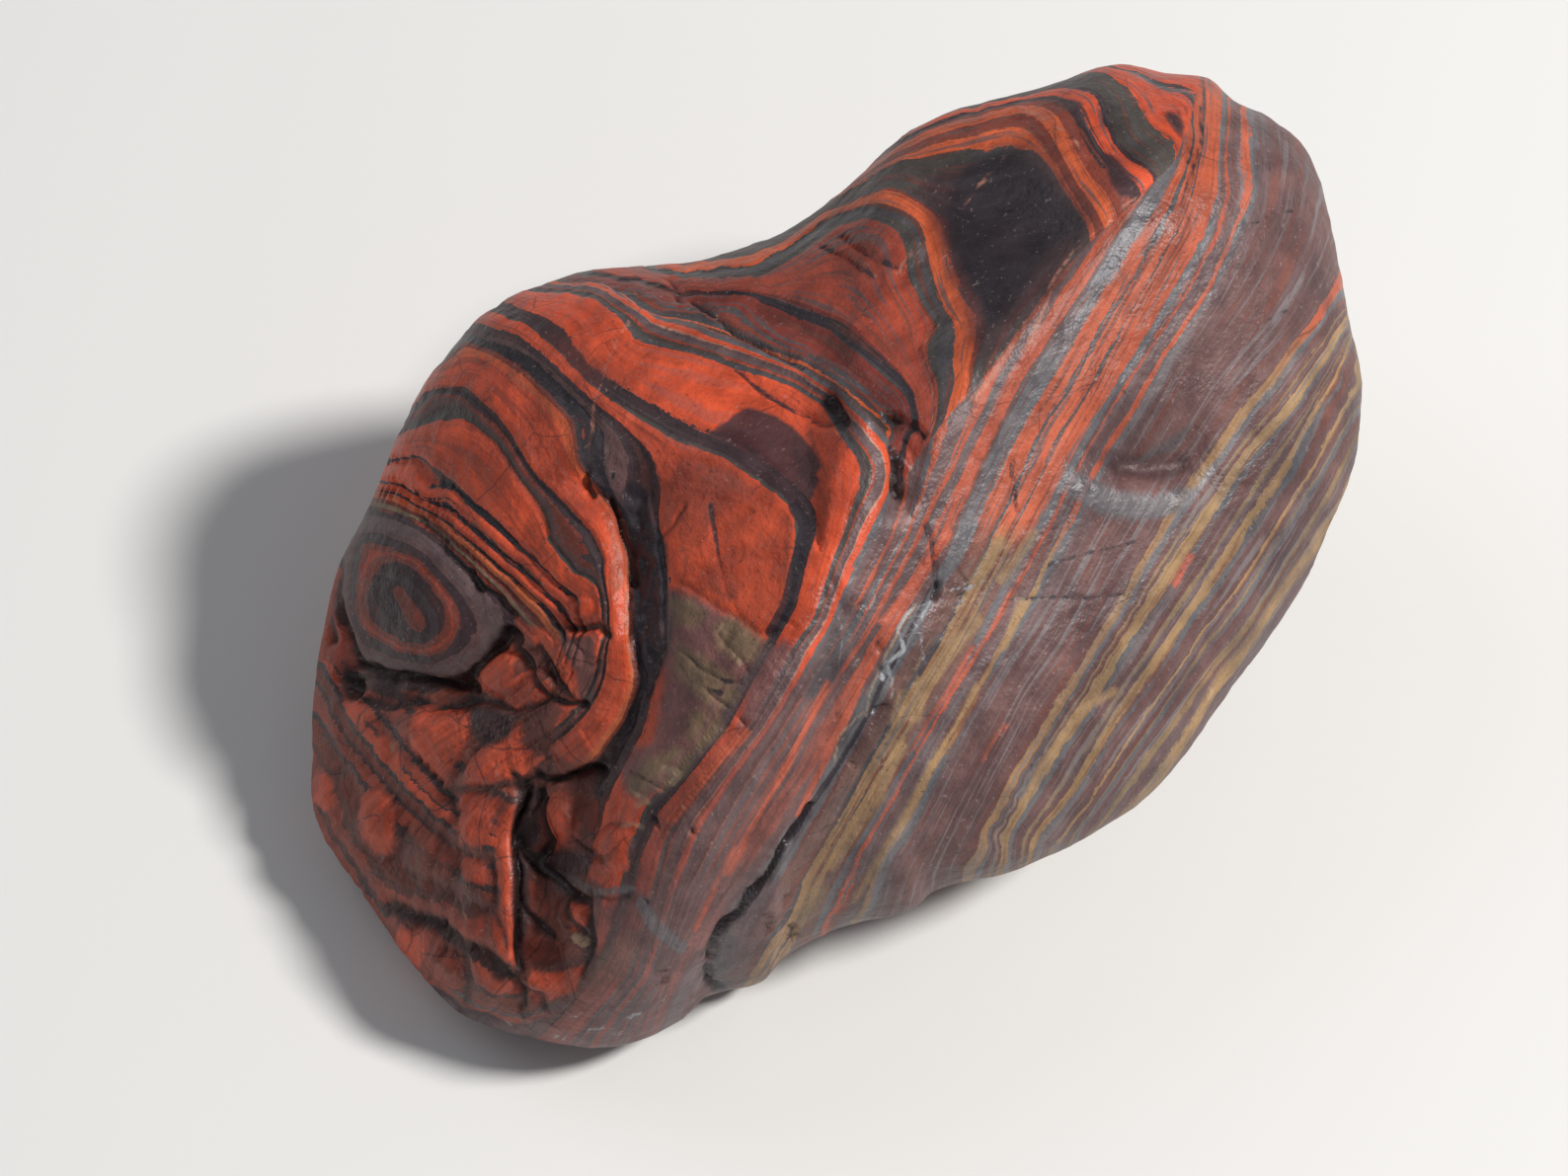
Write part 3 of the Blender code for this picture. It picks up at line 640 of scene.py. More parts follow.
END_BEDS = [
    (-60.0, "brown jasper"), (-30.0, "brick jasper"), (-14.0, "dark maroon"), (-11.0, "brick jasper"),
    (0.0, "dark ore"), (2.5, "brick jasper"), (7.0, "dark maroon"), (8.5, "jasper"), (14.0, "dark ore"),
    (17.0, "brown jasper"), (22.0, "dark maroon"), (24.0, "brick jasper"), (31.0, "dark ore"),
    (34.0, "brown jasper"), (42.0, "broken jasper"), (46.0, "brick jasper"), (55.0, "broken jasper"),
    (59.0, "dark ore"), (62.0, "brick jasper"), (71.0, "dark maroon"), (73.0, "brown jasper"), (84.0, "ore"),
    (87.0, "brick jasper"), (92.0, "dark maroon"), (95.0, "mixed"), (101.0, "ore"), (104.0, "maroon"),
    (110.0, "dark maroon"), (113.0, "mixed"), (122.0, "ore"), (126.0, "mixed"),
]
# Patches and veins.
# In the real stone iron ore has soaked into some beds in blots, the lower left end is broken into blocks of
# jasper set in dark ore, and thin seams of ore, rust and quartz cross it. Some patches and veins are painted light:
# painted shade in gaps, cavities and a hollow, a painted shadow in the dent, and painted highlight on the ridge.
# Each patch is an outline, and each vein a bent line with half its width. The rock, the softness of the edge and
# how fully it covers come first.
PATCHES = {
    "maroon_patch": ("dark maroon", 2.5, 0.93, [
        [(716, 441), (724, 434), (738, 428), (742, 422), (756, 413), (770, 417), (786, 421), (802, 431),
         (815, 444), (826, 456), (836, 472), (829, 481), (833, 487), (825, 500), (818, 512), (806, 512),
         (790, 497), (770, 478), (745, 458)],
        [(1116, 152), (1128, 158), (1140, 172), (1152, 186), (1148, 200), (1136, 200), (1124, 184)],
        [(1078, 102), (1090, 100), (1098, 106), (1092, 112), (1082, 110)],
        [(1178, 112), (1194, 116), (1200, 126), (1198, 142), (1190, 136), (1182, 124)],
    ]),
    "hollow_margin": ("dark maroon", 10.0, 0.75, [
        [(936, 176), (975, 170), (1006, 164), (1026, 152), (1050, 150), (1070, 168), (1088, 192), (1106, 220),
         (1108, 240), (1090, 254), (1080, 270), (1064, 300), (1036, 328), (1014, 356), (994, 368), (982, 340),
         (974, 305), (958, 268), (950, 240), (938, 214), (922, 196)],
    ]),
    "dark_hollow": ("dark ore", 9.0, 0.95, [
        [(964, 192), (972, 170), (990, 160), (1014, 154), (1036, 161), (1056, 177), (1070, 196), (1086, 214),
         (1100, 230), (1086, 240), (1067, 244), (1055, 262), (1044, 284), (1028, 302), (1012, 324), (1001, 330),
         (992, 304), (979, 284), (967, 264), (960, 238), (958, 212)],
    ]),
    "olive_ground": ("mixed", 8.0, 0.85, [
        [(672, 596), (690, 598), (706, 604), (728, 618), (746, 626), (762, 640), (776, 646), (774, 668),
         (756, 694), (748, 716), (730, 744), (712, 764), (690, 786), (672, 800), (652, 812), (632, 802),
         (626, 778), (640, 756), (660, 752), (668, 720), (672, 690), (668, 650)],
        [(770, 655), (796, 648), (812, 664), (792, 700), (768, 730), (748, 735), (754, 700), (764, 676)],
    ]),
    "olive_blot": ("olive", 7.0, 0.85, [
        [(722, 636), (738, 622), (760, 634), (774, 650), (764, 672), (742, 670), (726, 656)],
        [(676, 604), (700, 606), (716, 620), (706, 636), (684, 632)],
        [(686, 652), (712, 664), (742, 686), (748, 706), (724, 720), (700, 700), (684, 676)],
        [(700, 722), (726, 720), (732, 740), (708, 762), (694, 744)],
        [(654, 770), (684, 756), (704, 766), (692, 786), (668, 800), (642, 806), (636, 790)],
        [(588, 985), (612, 962), (640, 942), (646, 968), (628, 990), (606, 1000)],
        [(812, 905), (826, 888), (838, 900), (822, 930), (804, 940)],
    ]),
    "broken_ground": ("broken jasper", 6.0, 0.85, [
        [(475, 700), (520, 712), (560, 712), (556, 760), (600, 788), (604, 850), (614, 890), (604, 930),
         (600, 985), (560, 1020), (524, 1000), (522, 880), (520, 800), (500, 796), (480, 760)],
    ]),
    "brown_block": ("brick jasper", 4.0, 0.85, [
        [(460, 934), (508, 924), (520, 972), (496, 974), (467, 957)],
        [(542, 809), (575, 801), (588, 838), (571, 860), (552, 862), (538, 834)],
        [(526, 934), (550, 951), (546, 970), (527, 974)],
        [(527, 884), (550, 898), (556, 926), (545, 934), (528, 910)],
        [(392, 928), (425, 934), (458, 955), (475, 972), (471, 1001), (438, 997), (404, 963)],
    ]),
    "brown_shade": ("brown jasper", 16.0, 0.6, [
        [(668, 466), (700, 458), (744, 480), (764, 500), (724, 514), (694, 545), (672, 524)],
        [(470, 862), (455, 888), (425, 884), (408, 870), (412, 846), (444, 842)],
        [(560, 340), (590, 352), (620, 380), (600, 384), (572, 362)],
        [(850, 250), (880, 246), (900, 262), (890, 290), (860, 280)],
    ]),
    "dull_foot": ("mixed", 12.0, 0.72, [
        [(600, 915), (700, 890), (756, 872), (800, 905), (770, 965), (726, 1015), (696, 1075), (560, 1095),
         (430, 1075), (440, 1030), (520, 1044), (586, 1000), (606, 955)],
    ]),
    # painted shadow: dark maroon laid along the upper side of the dent
    "painted_dent_shadow": ("dark maroon", 5.0, 0.6, [
        [(1098, 450), (1140, 458), (1185, 468), (1202, 460), (1208, 474), (1170, 486), (1130, 478), (1104, 466)],
    ]),
    "dent_lip": ("blue ore", 5.0, 0.85, [
        [(1080, 470), (1110, 488), (1135, 498), (1170, 502), (1206, 492), (1212, 506), (1190, 522), (1150, 528),
         (1112, 520), (1078, 498)],
    ]),
    "dull_face": ("maroon", 9.0, 0.64, [
        [(655, 842), (700, 792), (745, 738), (800, 692), (842, 662), (860, 690), (822, 780), (790, 850),
         (745, 905), (710, 945), (640, 960), (612, 930), (640, 880)],
    ]),
    "red_block": ("jasper", 3.0, 0.92, [
        [(421, 718), (442, 720), (460, 713), (473, 722), (471, 747), (465, 768), (446, 790), (433, 780),
         (412, 755)],
        [(467, 797), (475, 774), (488, 757), (508, 752), (527, 731), (529, 755), (550, 768), (533, 784),
         (504, 795), (483, 799)],
        [(496, 663), (517, 645), (524, 668), (523, 690), (540, 674), (556, 690), (560, 702), (546, 711),
         (521, 722), (500, 705), (479, 693)],
        [(530, 632), (556, 640), (576, 660), (584, 680), (580, 704), (568, 688), (552, 664)],
        [(363, 813), (371, 801), (390, 803), (402, 818), (402, 847), (392, 868), (379, 865), (365, 847)],
        [(319, 778), (335, 788), (340, 813), (329, 822), (317, 809)],
        [(462, 803), (500, 809), (498, 842), (488, 861), (469, 853), (460, 830)],
        [(504, 826), (521, 813), (520, 855), (521, 917), (520, 972), (506, 976), (498, 934), (508, 909),
         (500, 876)],
        [(467, 865), (492, 872), (494, 897), (477, 892), (467, 880)],
        [(404, 942), (430, 944), (436, 965), (424, 980), (408, 968)],
        [(538, 982), (562, 986), (588, 980), (583, 1003), (552, 1016), (533, 1009)],
        [(570, 915), (592, 915), (592, 936), (574, 943)],
        [(546, 826), (560, 812), (572, 830), (566, 856), (552, 854)],
        [(604, 849), (640, 828), (636, 880), (608, 895), (590, 886)],
        [(342, 700), (358, 708), (372, 728), (364, 736), (348, 722)],
        [(378, 745), (392, 748), (408, 772), (398, 780), (384, 764)],
    ]),
    # dark ore in the strip beside the red block, and painted shade: the same dark ore laid in the broken end's gaps and
    # cavities, in the undercut under the nodule and over the slope beside the broken end's ridge
    "dark_ore_and_painted_gap_shade": ("dark ore", 3.5, 0.92, [
        [(628, 498), (640, 486), (654, 490), (662, 500), (660, 520), (668, 540), (676, 552), (676, 590),
         (674, 640), (678, 662), (668, 690), (664, 700), (656, 722), (640, 742), (634, 752), (616, 790),
         (608, 812), (596, 806), (600, 780), (612, 760), (624, 748), (642, 712), (644, 680), (642, 650),
         (640, 600), (642, 560), (636, 530)],
        [(475, 713), (496, 718), (521, 726), (515, 747), (488, 754), (477, 738)],
        [(362, 676), (392, 686), (438, 694), (446, 704), (420, 706), (384, 706), (366, 696)],
        [(525, 857), (548, 864), (576, 862), (600, 870), (592, 886), (560, 890), (534, 876)],
        [(340, 664), (360, 680), (362, 700), (346, 696), (338, 680)],
        [(526, 790), (540, 800), (544, 850), (530, 852), (524, 820)],
        [(594, 930), (604, 935), (600, 980), (588, 975)],
        # painted shade over the slope right of the broken end's ridge
        [(519, 806), (532, 800), (536, 860), (536, 920), (533, 978), (524, 984), (520, 920), (518, 860)],
    ]),
    "grey_gap": ("ore", 3.5, 0.75, [
        [(567, 647), (600, 645), (604, 676), (600, 713), (590, 713), (584, 680)],
        [(722, 945), (738, 935), (744, 955), (734, 990), (720, 998)],
        [(1150, 468), (1172, 452), (1198, 436), (1206, 430), (1200, 446), (1180, 462)],
        [(840, 640), (862, 612), (874, 618), (862, 650), (846, 690), (826, 706), (812, 706), (824, 680)],
        [(872, 700), (884, 712), (872, 740), (852, 775), (842, 768), (856, 735)],
    ]),
}
VEINS = {
    "ochre_stripe": ("ochre", 3.0, 0.8, [
        ([(988, 628), (954, 671), (935, 694), (927, 725)], 7.0),
        ([(1015, 548), (1000, 570), (988, 590)], 6.0),
        ([(1046, 540), (1030, 565), (1015, 586)], 5.0),
        ([(1035, 609), (1017, 655)], 3.0),
        ([(915, 705), (906, 730)], 5.0),
        ([(911, 755), (888, 809), (861, 848), (842, 875)], 6.5),
        ([(988, 698), (965, 740), (935, 790), (908, 840), (880, 886), (865, 913)], 3.2),
        ([(1128, 700), (1092, 721), (1069, 755), (1046, 786), (1038, 809)], 4.0),
        ([(1335, 540), (1315, 578), (1292, 609), (1269, 644), (1238, 682), (1208, 736)], 4.5),
        ([(1345, 531), (1330, 556), (1312, 581)], 4.5),
    ]),
    "red_streak": ("face jasper", 2.2, 0.85, [
        ([(961, 540), (930, 582), (905, 615), (892, 630)], 4.0),
        ([(1205, 562), (1196, 576), (1190, 590)], 4.0),
        ([(1018, 735), (1005, 752), (995, 770)], 1.6),
        ([(985, 655), (960, 700), (938, 735), (925, 760)], 1.8),
        ([(745, 860), (725, 900), (705, 942)], 2.0),
        ([(838, 692), (800, 770), (760, 842), (738, 885)], 3.2),
        ([(755, 742), (730, 768), (704, 800), (680, 830)], 4.6),
        ([(868, 702), (846, 750), (826, 790), (810, 825)], 3.0),
        ([(620, 520), (630, 560), (624, 590)], 9.0),
        ([(400, 700), (430, 706), (470, 698)], 2.0),
    ]),
    "ore_vein": ("blue ore", 2.2, 0.75, [
        ([(950, 596), (922, 640), (900, 680), (892, 705), (872, 735), (850, 772), (828, 806)], 4.5),
        ([(980, 540), (962, 568), (946, 590)], 4.0),
        ([(760, 905), (745, 928)], 6.0),
        ([(560, 884), (600, 905), (640, 900)], 4.0),
        ([(650, 915), (665, 940), (690, 960)], 6.0),
        ([(1062, 745), (1046, 778), (1032, 806)], 2.5),
        ([(497, 920), (506, 940), (514, 968)], 1.6),
    ]),
    # dark ore seams, and painted shade in the black hollow by the nose of the hump
    "dark_vein_and_hollow_shade": ("dark ore", 1.4, 0.9, [
        ([(745, 375), (770, 395), (800, 414), (824, 424)], 1.6),
        # painted shade in the hollow by the hump's nose
        ([(838, 406), (845, 415), (850, 424)], 7.0),
        ([(805, 515), (818, 530), (812, 560), (802, 590), (796, 615), (780, 640)], 7.0),
        ([(700, 303), (725, 318), (745, 335), (765, 345), (785, 356)], 1.6),
        ([(850, 238), (868, 252), (890, 264), (913, 272)], 1.0),
        ([(832, 250), (858, 262), (885, 280)], 1.0),
        ([(1085, 112), (1100, 138), (1115, 160), (1130, 182)], 1.8),
        ([(1112, 98), (1120, 125), (1130, 150)], 1.4),
        ([(1286, 128), (1286, 175)], 1.2),
        ([(1216, 108), (1217, 142), (1208, 172), (1198, 200), (1180, 240)], 1.6),
        ([(936, 532), (944, 548), (946, 572), (950, 592)], 1.4),
        ([(1025, 470), (1028, 505), (1030, 520)], 1.4),
        ([(720, 512), (724, 540), (730, 578), (736, 600), (750, 622)], 1.0),
        ([(945, 590), (920, 640), (898, 684), (880, 722), (850, 775), (822, 815), (796, 855), (778, 888),
          (752, 925), (730, 942), (720, 962), (716, 996)], 2.0),
        ([(724, 1000), (735, 998)], 6.0),
        ([(1149, 277), (1203, 264), (1253, 231), (1320, 210)], 0.3),
        ([(1187, 347), (1253, 339), (1312, 310), (1353, 293)], 0.3),
        ([(1078, 400), (1112, 391)], 0.3),
        ([(1062, 572), (1100, 560), (1157, 547)], 0.3),
        ([(1020, 608), (1060, 605), (1100, 606), (1142, 601)], 0.2),
        ([(690, 655), (710, 678), (735, 690), (750, 692)], 1.0),
        ([(676, 650), (700, 690), (730, 702)], 0.8),
    ]),
    # pale seams, and painted highlight: the strokes along the ridge crest and on the top of the upper hump
    "pale_vein_and_ridge_glint": ("pale", 1.2, 0.6, [
        ([(641, 318), (625, 345), (614, 372), (602, 408), (596, 450)], 0.8),
        ([(932, 245), (918, 262), (908, 276)], 1.2),
        ([(948, 330), (934, 352), (942, 380), (949, 410), (943, 438)], 1.2),
        ([(1018, 158), (985, 195), (958, 228)], 0.6),
        # painted highlight along the ridge crest and on the upper hump's top
        ([(1065, 285), (1095, 245), (1120, 225), (1150, 200)], 1.6),
        ([(1042, 345), (1055, 320), (1065, 290)], 1.8),
        ([(985, 405), (1005, 380), (1025, 350)], 2.0),
        ([(1035, 112), (1060, 120), (1078, 135), (1090, 145)], 2.4),
        ([(505, 775), (508, 800), (516, 812)], 1.2),
    ]),
    "quartz_vein": ("quartz", 1.3, 0.75, [
        ([(944, 587), (948, 598), (947, 609), (935, 621), (932, 647), (935, 666)], 1.0),
        ([(947, 609), (930, 614), (919, 621), (909, 637), (916, 659), (897, 672), (894, 688)], 1.1),
        ([(947, 609), (957, 600), (966, 596), (980, 596), (988, 593), (998, 587)], 0.8),
        ([(884, 596), (886, 606), (881, 615)], 0.8),
        ([(850, 625), (853, 645), (850, 672)], 0.6),
        ([(919, 621), (926, 630), (932, 647)], 0.7),
        ([(897, 672), (905, 690), (902, 706)], 0.7),
        ([(560, 1049), (574, 1051)], 1.0),
        ([(596, 1044), (612, 1040)], 1.2),
        ([(636, 1032), (650, 1025)], 1.2),
        ([(620, 1050), (632, 1045)], 0.8),
        ([(508, 1034), (520, 1039)], 0.9),
        ([(664, 1018), (676, 1008)], 0.9),
        ([(580, 1030), (590, 1026)], 0.8),
    ]),
    "cream_chip": ("cream", 1.6, 0.8, [
        ([(732, 632), (728, 640)], 2.0),
        ([(742, 662), (750, 672)], 1.6),
        ([(640, 800), (656, 812), (646, 816)], 2.6),
        ([(630, 836), (642, 834), (650, 838)], 2.2),
        ([(672, 778), (688, 784), (680, 792)], 3.2),
        ([(1227, 698), (1225, 708)], 2.0),
        ([(392, 744), (396, 756), (393, 764)], 2.2),
        ([(578, 950), (592, 956)], 4.0),
        ([(946, 598), (927, 613), (912, 636), (896, 667), (881, 702), (877, 725)], 0.5),
        ([(992, 605), (965, 617)], 0.5),
        ([(942, 644), (927, 678)], 0.5),
        ([(845, 770), (850, 745), (872, 722)], 0.5),
    ]),
}


def nearest_vein(veins):
    """Distance outside the nearest of some veins, negative within it."""
    nearest = np.full(len(skin_across), 60.0)
    for route, half_width in veins:
        nearest = np.minimum(nearest, distance_to_route(skin_across, skin_down, route) - half_width)
    return nearest


for patch_name, (_, _, _, outlines) in PATCHES.items():
    depths = [distance_into(skin_across, skin_down, outline) for outline in outlines]
    keep_on_skin(patch_name, np.where(behind_rim < 8.0, np.max(depths, axis=0), -60.0))
for vein_name, (_, _, _, veins) in VEINS.items():
    keep_on_skin(vein_name, np.where(behind_rim < 8.0, -nearest_vein(veins), -60.0))
keep_on_skin("rust_side", np.where(hump_beds < 220.0, skin_down - 545.0, skin_down - 350.0))

# Weathered relief.
# The real surface is worn bed by bed: hard jasper stands a little proud, soft ore sinks, and old breaks have
# left open cracks, ledges and pits, most of all at the shattered lower left end.
# Each crack is its route, its half width in tenths of a millimetre, and its depth in millimetres.
CRACKS = [
    # hump and crest
    ([(700, 303), (725, 318), (745, 335), (765, 345), (785, 357), (812, 372)], 3.0, 0.55),
    ([(745, 375), (770, 395), (800, 414), (824, 424)], 2.6, 0.3),
    ([(838, 404), (846, 416), (852, 426)], 7.0, 1.1),
    ([(822, 425), (835, 430), (842, 428)], 4.0, 0.5),
    ([(762, 378), (768, 388), (771, 402)], 2.2, 0.35),
    ([(678, 276), (682, 286), (690, 302)], 3.0, 0.7),
    ([(896, 426), (910, 430), (924, 432), (936, 442)], 3.4, 0.9),
    ([(905, 452), (908, 470), (906, 490), (911, 503)], 4.0, 1.0),
    ([(850, 238), (868, 252), (890, 264), (913, 273)], 2.2, 0.35),
    ([(832, 250), (858, 262), (880, 280)], 2.0, 0.25),
    ([(641, 318), (625, 345), (614, 372), (602, 408), (596, 450)], 1.8, 0.12),
    ([(594, 478), (592, 488), (598, 500)], 3.0, 0.7),
    ([(618, 505), (626, 520), (634, 540), (640, 560), (642, 590)], 3.4, 0.9),
    ([(720, 512), (724, 540), (730, 578), (736, 600), (750, 622)], 1.6, 0.14),
    ([(752, 553), (752, 565), (748, 568)], 1.6, 0.12),
    ([(672, 542), (684, 528), (694, 512)], 2.4, 0.3),
    ([(690, 592), (712, 606), (738, 622), (752, 628), (772, 644), (784, 640)], 2.6, 0.22),
    ([(785, 626), (805, 634)], 2.2, 0.3),
    ([(728, 640), (736, 652), (752, 668), (758, 682)], 2.2, 0.18),
    ([(690, 655), (710, 678), (735, 690), (748, 690)], 2.2, 0.15),
    ([(716, 700), (728, 710), (738, 716)], 2.4, 0.2),
    ([(640, 780), (655, 790), (672, 800)], 2.2, 0.2),
    # ridge and upper hump
    ([(1100, 142), (1086, 139), (1060, 135), (1035, 122), (1015, 112)], 2.0, 0.25),
    ([(1085, 115), (1100, 140), (1116, 162)], 2.2, 0.2),
    ([(1126, 208), (1130, 220)], 5.0, 0.5),
    ([(1150, 276), (1170, 268), (1198, 262), (1204, 256)], 2.0, 0.2),
    ([(1204, 146), (1210, 154), (1206, 160)], 2.6, 0.4),
    ([(936, 530), (944, 548), (946, 572), (950, 592)], 2.4, 0.4),
    ([(1025, 465), (1028, 505), (1030, 520)], 2.2, 0.3),
    ([(985, 462), (993, 468)], 2.6, 0.4),
    ([(1020, 608), (1060, 605), (1100, 606), (1142, 601)], 1.6, 0.12),
    ([(1328, 490), (1327, 502), (1329, 510)], 2.2, 0.3),
    ([(1140, 470), (1165, 474), (1196, 470)], 11.0, 1.0),
    # nodule and the groove under it
    ([(342, 575), (338, 600), (344, 630), (352, 655), (364, 672), (392, 684), (430, 690), (446, 694),
      (478, 694)], 4.2, 1.5),
    ([(470, 690), (490, 672), (506, 655), (516, 642)], 4.6, 1.2),
    ([(514, 640), (522, 648)], 6.0, 1.5),
    ([(350, 688), (352, 698)], 9.0, 2.2),
    ([(366, 706), (388, 714), (404, 710), (424, 708), (444, 716), (476, 706)], 3.4, 1.0),
    ([(445, 552), (470, 578), (488, 594), (500, 600), (520, 624)], 3.0, 0.7),
    ([(476, 580), (486, 596)], 4.0, 1.0),
    ([(424, 522), (436, 536), (452, 550)], 3.0, 0.6),
    ([(342, 560), (336, 590), (334, 620), (330, 650)], 3.0, 0.8),
    # shattered end
    ([(520, 655), (532, 668), (545, 690), (556, 706), (575, 712), (592, 714)], 4.4, 0.74),
    ([(545, 655), (556, 675), (566, 690), (578, 706)], 4.4, 0.62),
    ([(470, 702), (500, 708), (520, 720), (545, 714), (560, 702)], 4.4, 0.62),
    ([(573, 636), (590, 636), (604, 632), (612, 642)], 4.4, 0.62),
    ([(412, 748), (424, 770), (440, 788), (452, 802), (462, 836)], 4.4, 0.5),
    ([(452, 800), (468, 780), (482, 762), (494, 748)], 4.4, 0.37),
    ([(452, 800), (490, 798), (525, 790), (542, 782)], 4.4, 0.56),
    ([(540, 784), (552, 790), (580, 788), (604, 782)], 4.4, 0.99),
    ([(385, 738), (396, 750), (392, 776)], 7.0, 0.3),
    ([(522, 786), (526, 826), (521, 866), (523, 920), (526, 984)], 4.4, 1.1),
    ([(540, 800), (546, 830), (552, 850), (548, 862)], 4.4, 1.1),
    ([(530, 850), (550, 880), (575, 905), (592, 915)], 5.0, 1.1),
    ([(527, 912), (545, 935), (556, 948)], 4.4, 0.74),
    ([(574, 915), (578, 938), (590, 948)], 4.4, 0.74),
    ([(592, 900), (594, 930), (600, 955), (590, 985)], 4.4, 0.62),
    ([(572, 848), (596, 862), (612, 870)], 4.4, 0.56),
    ([(398, 918), (420, 930), (446, 938), (470, 954), (492, 968), (512, 988)], 8.0, 0.8),
    ([(452, 960), (472, 968), (476, 990), (472, 1012)], 5.5, 0.6),
    ([(420, 984), (436, 1002), (456, 1012), (480, 1026), (505, 1038)], 7.0, 0.4),
    ([(500, 988), (520, 992), (532, 1004), (528, 1022)], 4.4, 0.74),
    ([(534, 1000), (550, 1010), (552, 1020)], 4.4, 0.56),
    ([(345, 748), (366, 772), (400, 806), (430, 832), (462, 862), (490, 872)], 7.0, 0.34),
    ([(330, 700), (350, 738), (380, 776), (414, 812), (440, 830)], 7.0, 0.26),
    ([(366, 706), (384, 732), (400, 746)], 7.0, 0.3),
    ([(318, 730), (334, 756), (352, 790), (366, 830), (376, 862)], 7.0, 0.34),
    ([(374, 866), (400, 872), (408, 850), (404, 820)], 7.0, 0.3),
    ([(410, 880), (440, 896), (462, 912), (470, 930)], 4.4, 0.5),
    ([(462, 862), (466, 890), (458, 905)], 4.4, 0.43),
    ([(462, 900), (480, 914), (500, 922)], 4.4, 0.37),
    ([(498, 870), (500, 900), (504, 930), (512, 960)], 4.4, 0.37),
    ([(318, 830), (334, 850), (352, 872), (364, 892), (376, 916), (396, 944)], 7.0, 0.37),
    ([(338, 780), (344, 820), (352, 850)], 7.0, 0.3),
    ([(600, 905), (618, 912), (640, 906)], 4.4, 0.37),
    # open joint and pits of the broad face
    ([(952, 592), (948, 606)], 4.0, 0.8),
    ([(822, 815), (804, 840), (788, 868), (776, 890), (760, 905), (748, 925), (730, 938), (722, 958),
      (717, 980), (718, 1000)], 2.6, 0.7),
    ([(720, 998), (736, 1003)], 4.3, 0.88),
    ([(776, 926), (778, 944)], 1.9, 0.44),
    ([(800, 938), (806, 948)], 2.8, 0.55),
    ([(798, 908), (796, 914)], 2.2, 0.33),
    ([(758, 1000), (764, 1002)], 2.8, 0.5),
    ([(672, 985), (674, 996)], 1.9, 0.39),
    ([(655, 912), (656, 915)], 2.2, 0.39),
    ([(700, 840), (702, 844)], 2.8, 0.44),
    ([(662, 828), (666, 838)], 2.2, 0.44),
    ([(892, 676), (894, 682)], 2.8, 0.5),
    ([(888, 650), (890, 658)], 2.8, 0.44),
    ([(896, 714), (884, 718)], 1.9, 0.39),
    ([(912, 698), (914, 706)], 1.9, 0.33),
    ([(972, 606), (976, 604)], 2.5, 0.39),
    ([(860, 772), (864, 774)], 2.2, 0.33),
    ([(886, 768), (894, 772)], 2.2, 0.33),
    ([(846, 724), (847, 727)], 2.2, 0.28),
    ([(750, 728), (754, 732)], 2.2, 0.33),
    ([(970, 578), (978, 590)], 1.9, 0.33),
    ([(868, 612), (874, 612)], 1.9, 0.33),
]

# Ledges: the ground drops to the left of each route, and climbs back over the run given, in tenths
LEDGES = [
    ([(560, 285), (600, 286), (628, 297), (655, 315), (700, 327), (745, 342), (785, 358), (820, 374)], 0.45, 22.0),
    ([(932, 236), (938, 250), (918, 268), (908, 276)], 0.5, 25.0),
    ([(642, 640), (642, 590), (640, 560), (630, 520), (612, 498), (594, 480)], 0.9, 26.0),
    ([(610, 790), (634, 752), (652, 712), (656, 690), (646, 640)], 0.6, 24.0),
    ([(676, 650), (672, 590), (668, 540), (660, 500)], -0.6, 16.0),
    ([(478, 692), (430, 688), (392, 682), (362, 668), (346, 640)], 0.9, 30.0),
    ([(512, 986), (470, 952), (420, 928), (398, 916)], -0.6, 34.0),
    ([(524, 790), (521, 866), (523, 920), (526, 980)], 1.1, 34.0),
    ([(600, 782), (552, 788), (525, 792), (452, 802)], 0.7, 30.0),
    ([(716, 996), (722, 958), (746, 925), (778, 888), (804, 842)], 0.35, 20.0),
    ([(944, 436), (949, 412), (942, 380), (934, 354), (948, 330)], 0.35, 14.0),
]

# Blocks of the shattered end that stand out between its cracks: middle, radius in tenths, and height
BLOCKS = [
    ((385, 832), 26.0, 0.7), ((436, 872), 28.0, 0.5), ((478, 842), 26.0, 0.6), ((440, 740), 34.0, 0.5),
    ((500, 775), 30.0, 0.5), ((508, 680), 22.0, 0.9), ((548, 690), 14.0, 0.7), ((575, 665), 16.0, 0.6),
    ((480, 900), 22.0, 0.6), ((470, 938), 22.0, 0.6), ((440, 980), 24.0, 0.7), ((545, 985), 22.0, 0.8),
    ((575, 925), 14.0, 0.7), ((540, 945), 14.0, 0.6), ((560, 830), 18.0, 0.7), ((620, 860), 24.0, 0.6),
    ((590, 615), 12.0, 0.5), ((330, 800), 20.0, 0.5), ((600, 1005), 26.0, 0.4),
]
BED_GROOVES = [(-211.0, 1.8, 0.35), (-200.0, 2.2, 0.4), (-189.5, 2.0, 0.4), (-180.5, 2.2, 0.4),
               (-170.5, 2.4, 0.4), (-138.5, 2.4, 0.18), (-127.5, 2.0, 0.15), (-78.0, 3.0, 0.15)]
SHATTERED = [(318, 700), (360, 675), (480, 690), (520, 640), (600, 630), (640, 700), (610, 800), (640, 850),
             (610, 930), (620, 1000), (560, 1060), (470, 1040), (390, 970), (320, 860)]


